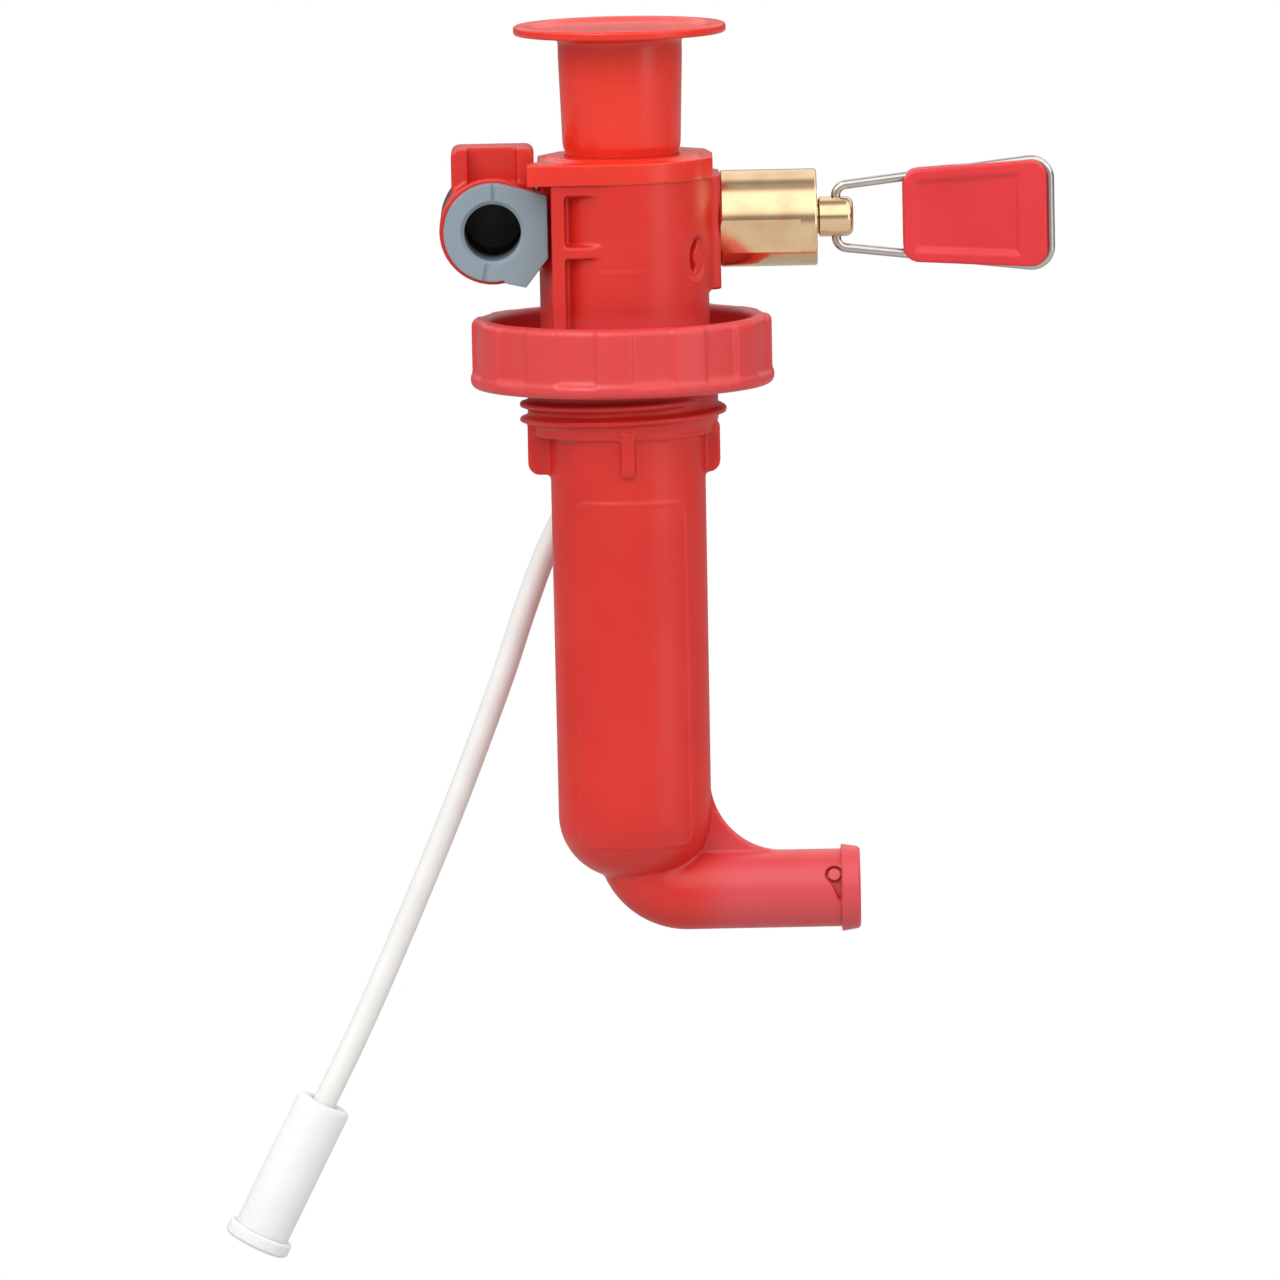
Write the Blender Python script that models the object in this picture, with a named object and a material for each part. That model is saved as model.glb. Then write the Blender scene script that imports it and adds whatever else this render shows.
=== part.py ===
"""Bottle pump for a liquid-fuel stove: body, hand plunger, fuel valve, check valve and suction hose.

The frame: the origin is on the bottle thread's axis, level with the underside of the grip ring,
which seats on the bottle's mouth. +Z runs up to the plunger's button, +X to the fuel valve and
-Y to the side where the stove's fuel line plugs in.
"""
import math

import bmesh
import bpy
from mathutils import Matrix, Vector

MM = 0.001
GAP = 0.3 * MM                      # clearance between pieces that touch

# Pump cylinder, set off from the thread's axis to leave room for the suction passage
PUMP_X = 0.5 * MM
PUMP_Y = -1.5 * MM
BARREL_R_TOP = 10.65 * MM
BARREL_R_LOW = 10.5 * MM
BARREL_BOTTOM_Z = -68.0 * MM
BARREL_CORNER_Z = BARREL_BOTTOM_Z + 8.8 * MM
BARREL_CORNER_R = 9.0 * MM
CYLINDER_R = BARREL_R_LOW - 1.3 * MM
CYLINDER_FLOOR_Z = BARREL_BOTTOM_Z + 8.0 * MM

# Grip ring and bottle neck
RING_R = 20.6 * MM
RING_BEAD_R = RING_R + 0.25 * MM
RING_WALL = 2.7 * MM
RING_H = 9.5 * MM
RING_FLOOR_Z = 5.0 * MM
SCALLOPS = 12
SCALLOP_FIRST_DEG = 12.0            # from the front, towards +X
SCALLOP_R = 7.5 * MM
SCALLOP_DEPTH = 0.55 * MM
SCALLOP_FOOT_Z = 2.4 * MM
THREAD_ROOT_R = 13.05 * MM
THREAD_MAJOR_R = THREAD_ROOT_R + 1.15 * MM
THREAD_PITCH = 2.05 * MM
THREAD_LOW_Z = -4.85 * MM
THREAD_TURNS = 1.6
THREAD_LOW_DEG = 110.0
NECK_LOW_Z = -4.9 * MM
COLLAR_R = THREAD_ROOT_R - 0.35 * MM
COLLAR_LOW_Z = -6.5 * MM
WING_R = THREAD_ROOT_R + 0.15 * MM
WING_T = 2.0 * MM
WING_LOW_Z = -12.0 * MM
WING_CORNER_R = 1.6 * MM
GASKET_R_IN = THREAD_ROOT_R + 0.35 * MM
GASKET_R_OUT = THREAD_ROOT_R + 1.45 * MM
GASKET_T = 0.9 * MM
GASKET_TOP_Z = 0.5 * MM

# Upper housing
HOUSING_R = 11.6 * MM
HOUSING_TOP_Z = 29.1 * MM
RIB_LEFT_X = -9.3 * MM
RIB_RIGHT_X = -7.5 * MM
RIB_FRONT_Y = -12.9 * MM
GUSSET_RIGHT_X = -1.5 * MM
GUSSET_T = 1.6 * MM
GUSSET_ZS = (19.4 * MM, 27.9 * MM)
BLOCK_LOW_Z = 13.0 * MM
BLOCK_RIGHT_X = 13.8 * MM
BLOCK_BACK_Y = 13.0 * MM
POCKET_DEG = 60.0                   # from the front, towards +X
POCKET_Z = 17.9 * MM
POCKET_R = 2.95 * MM
POCKET_DEPTH = 1.0 * MM

# Plunger and its bushing
BUSHING_TOP_Z = 31.5 * MM
BUSHING_FRONT_Y = -13.3 * MM
ROD_R = CYLINDER_R - 1.4 * MM
BUSHING_SLEEVE_R = ROD_R + 2.2 * MM
BUSHING_SLEEVE_L = 4.0 * MM
HUB_R = ROD_R + 2.6 * MM
HUB_H = 0.4 * MM
ROD_TOP_R = ROD_R + 0.7 * MM
ROD_SHOULDER_Z = 33.0 * MM
ROD_BORE_R = ROD_R - 1.6 * MM
ROD_LOW_Z = CYLINDER_FLOOR_Z + 11.0 * MM
HEAD_R = 14.55 * MM
HEAD_TOP_Z = 49.75 * MM
HEAD_RIM_T = 1.3 * MM
HEAD_DISH = 0.55 * MM
HEAD_DISH_R = HEAD_R - 2.35 * MM
CARRIER_FLANGE_R = ROD_R - 0.4 * MM
CARRIER_FLANGE_T = 0.7 * MM
CARRIER_PLUG_L = 8.0 * MM
SPIGOT_R = 3.2 * MM
CUP_R = CYLINDER_R - 0.25 * MM
CUP_T = 1.7 * MM
CUP_H = 5.8 * MM
RETAINER_R = CUP_R - 3.55 * MM
RETAINER_T = 1.2 * MM
RETAINER_PIN_R = 1.4 * MM
RETAINER_PIN_L = 6.0 * MM

# Fuel valve, along +X
VALVE_Y = 4.5 * MM
VALVE_Z = 22.2 * MM
NUT_R = 6.65 * MM
NUT_END_X = 27.1 * MM
NUT_FLAT = NUT_R - 0.46 * MM
NUT_FLAT_END_X = 24.8 * MM
NUT_FLAT_DEG = 19.0                 # the front flat faces this far below level
NUT_SPIGOT_R = 3.6 * MM
NUT_SPIGOT_L = 2.9 * MM
VALVE_BORE_R = NUT_SPIGOT_R + GAP
SEAL_R_IN = 4.0 * MM
SEAL_R_OUT = 4.9 * MM
SEAL_T = 0.6 * MM
SPINDLE_R = 1.6 * MM
STEM_R = 2.75 * MM
STEM_END_X = 32.1 * MM
ORING_R = 3.0 * MM
ORING_T = 1.4 * MM
WASHER_T = 0.7 * MM
WASHER_HOLE_R = 1.3 * MM
PASSAGE_R = 1.0 * MM

# Wire bail and grip
WIRE_R = 0.64 * MM
BAIL_X = 29.75 * MM
BAIL_END_X = 59.15 * MM
BAIL_HALF_NEAR = 4.2 * MM
BAIL_HALF_FAR = 8.0 * MM
BAIL_BEND_R = 1.5 * MM
BAIL_CORNER_R = 2.6 * MM
WIRE_END = 1.2 * MM                 # each wire end stops this far from the valve's axis
GRIP_LEFT_X = 39.0 * MM
GRIP_RIGHT_X = 58.4 * MM
GRIP_HALF_LEFT = 6.3 * MM
GRIP_HALF_RIGHT = 7.5 * MM
GRIP_T = 4.2 * MM
GRIP_CORNER_R = 2.2 * MM
GRIP_PANEL_DEPTH = 0.5 * MM
GRIP_PANEL_INSET = 2.0 * MM

# Fuel-line port, along Y
PORT_X = -17.35 * MM
PORT_Z = 22.1 * MM
PORT_R = 7.3 * MM
PORT_FRONT_Y = -7.4 * MM
PORT_BACK_Y = 12.6 * MM
PORT_SOCKET_R = PORT_R - 1.5 * MM
PORT_SOCKET_END_Y = 0.9 * MM
PORT_BORE_R = PORT_R - 3.4 * MM
FLANGE_R = PORT_R - 0.6 * MM
FLANGE_FRONT_Y = -9.5 * MM
FLANGE_CHAMFER = 0.8 * MM
SLEEVE_R = PORT_SOCKET_R - 0.35 * MM
SLEEVE_END_Y = -1.2 * MM
CATCH_LEFT_X = PORT_X - 5.55 * MM
CATCH_RIGHT_X = PORT_X + 5.75 * MM
CATCH_TOP_Z = 33.3 * MM
CATCH_FRONT_Y = -5.5 * MM
CATCH_BACK_Y = 3.5 * MM
CATCH_SLOT_W = 6.6 * MM
BLOCK_LEFT_X = CATCH_RIGHT_X + 0.8 * MM
TAB_RIGHT_X = PORT_X + 7.55 * MM
TAB_LOBE_X = PORT_X + 4.45 * MM
CATCH_SLOT_D = 2.5 * MM

# Outlet elbow and check valve
ELBOW_R = 5.37 * MM
ELBOW_Z = BARREL_BOTTOM_Z - 2.0 * MM
ELBOW_BEND_R = 7.1 * MM
ELBOW_END_X = 29.0 * MM
OUTLET_R = 2.2 * MM
CHAMBER_R = ELBOW_R - 1.17 * MM
CHAMBER_X = 20.0 * MM
WEB_T = 2.2 * MM
WEB_R = 10.1 * MM
BALL_R = CHAMBER_R - 1.5 * MM
CAP_FLANGE_R = ELBOW_R + 0.63 * MM
CAP_FLANGE_T = 1.8 * MM
CAP_SLEEVE_R = CHAMBER_R - GAP
CAP_SLEEVE_IN_R = CAP_SLEEVE_R - 1.0 * MM
CAP_SLEEVE_L = 5.4 * MM
CAP_GROOVE_R = CAP_SLEEVE_R - 0.55 * MM
CAP_GROOVE_W = 1.2 * MM
CAP_HOLE_R = 1.6 * MM
PIN_R = 0.82 * MM
PIN_X = 27.7 * MM
PIN_DEG = 28.0                      # above level, on the front
SLOT_MOUTH_DEG = -12.0
SLOT_W = 2.5 * MM
SPRING_R = 2.2 * MM
SPRING_WIRE_R = 0.25 * MM
SPRING_TURNS = 4

# Suction hose and filter
SUCTION_X = -5.6 * MM
SUCTION_Y = 9.6 * MM
SUCTION_COLUMN_R = 2.6 * MM
BARB_R = 0.9 * MM
BARB_SHOULDER_R = 1.3 * MM
BARB_LOW_Z = -9.0 * MM
BARB_BORE_R = 0.5 * MM
HOSE_R = 1.6 * MM
HOSE_ROUTE = (                      # millimetres, after the start at the barb
    (-5.65, 9.6, -11.6), (-6.4, 9.6, -14.6), (-8.4, 9.3, -18.6), (-11.2, 8.9, -24.2), (-14.4, 8.0, -32.4),
    (-17.9, 7.0, -42.2), (-25.2, 5.4, -60.4), (-33.6, 4.0, -79.4), (-38.6, 2.9, -90.0),
)
FILTER_TOP = (-43.2 * MM, 2.0 * MM, -99.0 * MM)
FILTER_TILT_DEG = 27.0
FILTER_R = 3.87 * MM
FILTER_WALL = 0.95 * MM
FILTER_L = 20.0 * MM
FILTER_END_R = FILTER_R + 0.78 * MM
FILTER_END_T = 2.0 * MM
SCREEN_R = FILTER_R - FILTER_WALL - 0.47 * MM

SIDES = 36


def material(name, colour, roughness, metallic=0.0):
    """A plain Principled material."""
    made = bpy.data.materials.new(name)
    made.use_nodes = True
    shader = made.node_tree.nodes["Principled BSDF"]
    shader.inputs["Base Color"].default_value = (*colour, 1.0)
    shader.inputs["Roughness"].default_value = roughness
    shader.inputs["Metallic"].default_value = metallic
    return made


def add_object(name, bm, finish=None):
    """Closes a bmesh into an object with its faces pointing out."""
    bmesh.ops.recalc_face_normals(bm, faces=bm.faces)
    mesh = bpy.data.meshes.new(name)
    bm.to_mesh(mesh)
    bm.free()
    obj = bpy.data.objects.new(name, mesh)
    bpy.context.scene.collection.objects.link(obj)
    if finish:
        mesh.materials.append(finish)
    return obj


def lathe(name, profile, finish=None, steps=SIDES, ring=False):
    """Turns (radius, height) points about Z. A ring's profile closes on itself, off the axis."""
    bm = bmesh.new()
    rows = []
    for radius, height in profile:
        if radius < 1e-9:
            rows.append([bm.verts.new((0, 0, height))])
            continue
        turns = [2 * math.pi * i / steps for i in range(steps)]
        rows.append([bm.verts.new((radius * math.cos(t), radius * math.sin(t), height)) for t in turns])
    pairs = list(zip(rows, rows[1:]))
    if ring:
        pairs.append((rows[-1], rows[0]))
    for low, high in pairs:
        for i in range(steps):
            j = (i + 1) % steps
            if len(low) == 1 and len(high) == 1:
                continue
            if len(low) == 1:
                bm.faces.new((low[0], high[i], high[j]))
            elif len(high) == 1:
                bm.faces.new((low[i], low[j], high[0]))
            else:
                bm.faces.new((low[i], low[j], high[j], high[i]))
    return add_object(name, bm, finish)


def rod(name, radius, start, end, finish=None, steps=SIDES):
    """A plain round bar between two points."""
    start, end = Vector(start), Vector(end)
    length = (end - start).length
    obj = lathe(name, [(0, 0), (radius, 0), (radius, length), (0, length)], finish, steps)
    obj.rotation_mode = "QUATERNION"
    obj.rotation_quaternion = (end - start).to_track_quat("Z", "Y")
    obj.location = start
    return obj


def prism(name, outline, low, high, finish=None, plane="XY"):
    """Extrudes a flat outline. On plane XY it runs along Z, and on plane XZ along Y."""
    bm = bmesh.new()
    if plane == "XY":
        corners = [bm.verts.new((a, b, low)) for a, b in outline]
        way = (0, 0, high - low)
    else:
        corners = [bm.verts.new((a, low, b)) for a, b in outline]
        way = (0, high - low, 0)
    face = bm.faces.new(corners)
    made = bmesh.ops.extrude_face_region(bm, geom=[face])
    moved = [v for v in made["geom"] if isinstance(v, bmesh.types.BMVert)]
    bmesh.ops.translate(bm, verts=moved, vec=way)
    return add_object(name, bm, finish)


def block(name, x, y, z, finish=None):
    """A box between pairs of limits."""
    return prism(name, [(x[0], y[0]), (x[1], y[0]), (x[1], y[1]), (x[0], y[1])], z[0], z[1], finish)


def sweep(name, points, radius, finish=None, sides=16):
    """A round bar along a path, with flat ends."""
    points = [Vector(p) for p in points]
    bm = bmesh.new()
    rows = []
    side = None
    for i, point in enumerate(points):
        way = (points[min(i + 1, len(points) - 1)] - points[max(i - 1, 0)]).normalized()
        if side is None:
            side = way.orthogonal().normalized()
        side = (side - way * side.dot(way)).normalized()
        other = way.cross(side)
        turns = [2 * math.pi * k / sides for k in range(sides)]
        rows.append([bm.verts.new(point + radius * (side * math.cos(t) + other * math.sin(t)))
                     for t in turns])
    for low, high in zip(rows, rows[1:]):
        for i in range(sides):
            j = (i + 1) % sides
            bm.faces.new((low[i], low[j], high[j], high[i]))
    bm.faces.new(rows[0])
    bm.faces.new(reversed(rows[-1]))
    return add_object(name, bm, finish)


def combine(target, tools, operation, solver="EXACT"):
    """Joins the tools to the target or cuts them from it, then removes them."""
    for tool in tools:
        step = target.modifiers.new(tool.name, "BOOLEAN")
        step.operation = operation
        step.solver = solver
        step.object = tool
    bpy.context.view_layer.update()
    graph = bpy.context.evaluated_depsgraph_get()
    result = bpy.data.meshes.new_from_object(target.evaluated_get(graph))
    target.modifiers.clear()
    target.data = result
    for tool in tools:
        bpy.data.objects.remove(tool)
    return target


def smooth(obj, angle_deg=30):
    """Shades a round piece smooth, with its edges kept sharp."""
    obj.data.shade_smooth()
    obj.data.set_sharp_from_angle(angle=math.radians(angle_deg))
    return obj


def rounded(points, radii, steps=5):
    """A path through 2-D points whose inner corners are arcs. A radius of 0 keeps its corner."""
    path = []
    for i, (point, radius) in enumerate(zip(points, radii)):
        here = Vector(point)
        if radius == 0:
            path.append(here)
            continue
        back = (Vector(points[i - 1]) - here).normalized()
        ahead = (Vector(points[(i + 1) % len(points)]) - here).normalized()
        half = back.angle(ahead) / 2
        centre = here + (back + ahead).normalized() * radius / math.sin(half)
        first = here + back * radius / math.tan(half) - centre
        last = here + ahead * radius / math.tan(half) - centre
        turn = first.angle_signed(last)
        for k in range(steps + 1):
            path.append(centre + Matrix.Rotation(-turn * k / steps, 2) @ first)
    return path


def arc(cx, cz, radius, start_deg, end_deg, steps):
    """Points on an arc, both ends included."""
    turns = [math.radians(start_deg + (end_deg - start_deg) * k / steps) for k in range(steps + 1)]
    return [(cx + radius * math.cos(t), cz + radius * math.sin(t)) for t in turns]


def on_pump_axis(obj):
    """Places a turned piece on the pump cylinder's axis."""
    obj.location = (PUMP_X, PUMP_Y, 0)
    return obj


def on_valve_axis(obj):
    """Places a turned piece on the fuel valve's axis, its height along +X."""
    obj.rotation_euler = (0, math.pi / 2, 0)
    obj.location = (0, VALVE_Y, VALVE_Z)
    return obj


def on_outlet_axis(obj):
    """Places a turned piece on the outlet tube's axis, its height along +X."""
    obj.rotation_euler = (0, math.pi / 2, 0)
    obj.location = (0, PUMP_Y, ELBOW_Z)
    return obj


def on_port_axis(obj):
    """Places a turned piece on the fuel port's axis, its height along -Y."""
    obj.rotation_euler = (math.pi / 2, 0, 0)
    obj.location = (PORT_X, 0, PORT_Z)
    return obj


def on_filter_axis(obj):
    """Hangs a turned piece from the filter's top, its height against the hose's direction."""
    obj.rotation_euler = (0, math.radians(FILTER_TILT_DEG), 0)
    obj.location = FILTER_TOP
    return obj


def thread():
    """The helical ridge of the bottle thread, right-handed, fading out at both ends."""
    bm = bmesh.new()
    rows = []
    count = round(THREAD_TURNS * SIDES)
    fade = SIDES // 8
    foot = 0.8 * MM
    tip = 0.25 * MM
    buried = THREAD_ROOT_R - 0.5 * MM
    for i in range(count + 1):
        turn = math.radians(THREAD_LOW_DEG) + 2 * math.pi * i / SIDES
        height = THREAD_LOW_Z + THREAD_PITCH * i / SIDES
        share = min(1.0, i / fade, (count - i) / fade)
        crest = THREAD_ROOT_R - 0.1 * MM + share * (THREAD_MAJOR_R - THREAD_ROOT_R + 0.1 * MM)
        shape = ((buried, -foot), (buried, foot), (crest, tip), (crest, -tip))
        rows.append([bm.verts.new((r * math.cos(turn), r * math.sin(turn), height + h)) for r, h in shape])
    for low, high in zip(rows, rows[1:]):
        for k in range(4):
            n = (k + 1) % 4
            bm.faces.new((low[k], low[n], high[n], high[k]))
    bm.faces.new(rows[0])
    bm.faces.new(reversed(rows[-1]))
    bmesh.ops.triangulate(bm, faces=bm.faces)
    return add_object("thread", bm)


def ring_and_neck():
    """The grip ring, the threaded neck and the collar below it, on the thread's axis."""
    inner = RING_R - RING_WALL
    profile = [
        (0, RING_FLOOR_Z), (inner, RING_FLOOR_Z), (inner, RING_H - 0.3 * MM), (inner + 0.3 * MM, RING_H),
        (RING_R - 0.5 * MM, RING_H), (RING_R, RING_H - 0.5 * MM), (RING_R, SCALLOP_FOOT_Z),
        (RING_BEAD_R, 1.8 * MM), (RING_BEAD_R, 1.0 * MM), (RING_BEAD_R - 0.5 * MM, 0.3 * MM),
        (RING_BEAD_R - 1.3 * MM, 0), (GASKET_R_OUT + GAP, 0), (GASKET_R_OUT + GAP, GASKET_TOP_Z + GAP),
        (THREAD_ROOT_R, GASKET_TOP_Z + GAP), (THREAD_ROOT_R, NECK_LOW_Z),
        (COLLAR_R, NECK_LOW_Z - 0.35 * MM), (COLLAR_R, COLLAR_LOW_Z), (0, COLLAR_LOW_Z),
    ]
    body = lathe("pump_body", profile, steps=2 * SIDES)
    cutters = []
    reach = RING_R + SCALLOP_R - SCALLOP_DEPTH
    for i in range(SCALLOPS):
        turn = math.radians(SCALLOP_FIRST_DEG + 360 * i / SCALLOPS)
        place = (reach * math.sin(turn), -reach * math.cos(turn))
        cutter = lathe(f"scallop_{i}", [(0, 0), (SCALLOP_R - 0.6 * MM, 0), (SCALLOP_R, 1.2 * MM),
                                        (SCALLOP_R, RING_H), (0, RING_H)], steps=40)
        cutter.location = (*place, SCALLOP_FOOT_Z)
        cutters.append(cutter)
    return combine(body, cutters, "DIFFERENCE")


def elbow_path():
    """The outlet's centreline: down the pump's axis, round the bend, then along +X."""
    bend = arc(PUMP_X + ELBOW_BEND_R, ELBOW_Z + ELBOW_BEND_R, ELBOW_BEND_R, 180, 270, 10)
    return [(x, PUMP_Y, z) for x, z in bend]


def slot_cutter():
    """The bayonet slot: from the pin's seat it slants down and out to the tube's end."""
    bm = bmesh.new()
    rows = []
    steps = 8
    half = SLOT_W / 2
    for i in range(steps + 1):
        share = i / steps
        turn = math.radians(PIN_DEG + (SLOT_MOUTH_DEG - PIN_DEG) * share)
        middle = PIN_X + share * (ELBOW_END_X + 0.3 * MM - PIN_X)
        ring = []
        for x, r in ((-half, CHAMBER_R - 0.4 * MM), (half, CHAMBER_R - 0.4 * MM),
                     (half, ELBOW_R + 0.6 * MM), (-half, ELBOW_R + 0.6 * MM)):
            place = (middle + x * 0.8, PUMP_Y - r * math.cos(turn), ELBOW_Z + r * math.sin(turn))
            ring.append(bm.verts.new(place))
        rows.append(ring)
    for low, high in zip(rows, rows[1:]):
        for k in range(4):
            n = (k + 1) % 4
            bm.faces.new((low[k], low[n], high[n], high[k]))
    bm.faces.new(rows[0])
    bm.faces.new(reversed(rows[-1]))
    bmesh.ops.triangulate(bm, faces=bm.faces)
    return add_object("slot", bm)


def pin_way():
    """The unit direction from the outlet tube's axis to the bayonet pin."""
    turn = math.radians(PIN_DEG)
    return Vector((0, -math.cos(turn), math.sin(turn)))


def barrel_profile():
    """The pump barrel's outside, from the ring down to its rounded bottom."""
    drop = BARREL_CORNER_Z - BARREL_BOTTOM_Z
    top = RING_FLOOR_Z / 2
    profile = [(0, top), (BARREL_R_TOP, top), (BARREL_R_TOP, COLLAR_LOW_Z)]
    for k in range(9):
        turn = math.radians(10 * k)
        flat = BARREL_R_LOW - BARREL_CORNER_R
        profile.append((flat + BARREL_CORNER_R * math.cos(turn), BARREL_CORNER_Z - drop * math.sin(turn)))
    profile.append((BARREL_R_LOW - BARREL_CORNER_R, BARREL_BOTTOM_Z))
    profile.append((0, BARREL_BOTTOM_Z))
    return profile


def web_outline():
    """The web between barrel and outlet, hollowed by one arc."""
    side = PUMP_X + BARREL_R_LOW - 0.1 * MM
    top = ELBOW_Z + ELBOW_R - 0.1 * MM
    inside = 1.3 * MM
    outline = [(side - inside, top - inside), (side - inside, top + WEB_R)]
    outline += arc(side + WEB_R, top + WEB_R, WEB_R, 180, 270, 10)
    outline += [(side + WEB_R, top - inside)]
    return outline


def wings():
    """Four upright ribs under the collar, which centre the pump in the bottle's neck."""
    made = []
    reach = WING_R - WING_CORNER_R
    for i in range(4):
        shape = [(5 * MM, NECK_LOW_Z - 0.5 * MM), (WING_R, NECK_LOW_Z - 0.5 * MM)]
        shape += arc(reach, WING_LOW_Z + WING_CORNER_R, WING_CORNER_R, 0, -90, 4)
        shape += [(5 * MM, WING_LOW_Z)]
        wing = prism(f"wing_{i}", shape, -WING_T / 2, WING_T / 2, plane="XZ")
        wing.rotation_euler = (0, 0, i * math.pi / 2)
        wing.location = (PUMP_X * (i % 2), PUMP_Y * (1 - i % 2), 0)
        made.append(wing)
    return made


def gallery_outline():
    """Plan of the block behind the housing that carries the fuel passages and the valve."""
    return [
        (PUMP_X, PUMP_Y), (BLOCK_RIGHT_X, PUMP_Y), (BLOCK_RIGHT_X, BLOCK_BACK_Y - 4.0 * MM),
        (BLOCK_RIGHT_X - 1.4 * MM, BLOCK_BACK_Y - 1.6 * MM), (BLOCK_RIGHT_X - 4.3 * MM, BLOCK_BACK_Y),
        (BLOCK_LEFT_X + 6.8 * MM, BLOCK_BACK_Y), (BLOCK_LEFT_X + 2.2 * MM, BLOCK_BACK_Y - 3.5 * MM),
        (BLOCK_LEFT_X, 2.0 * MM),
    ]


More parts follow.
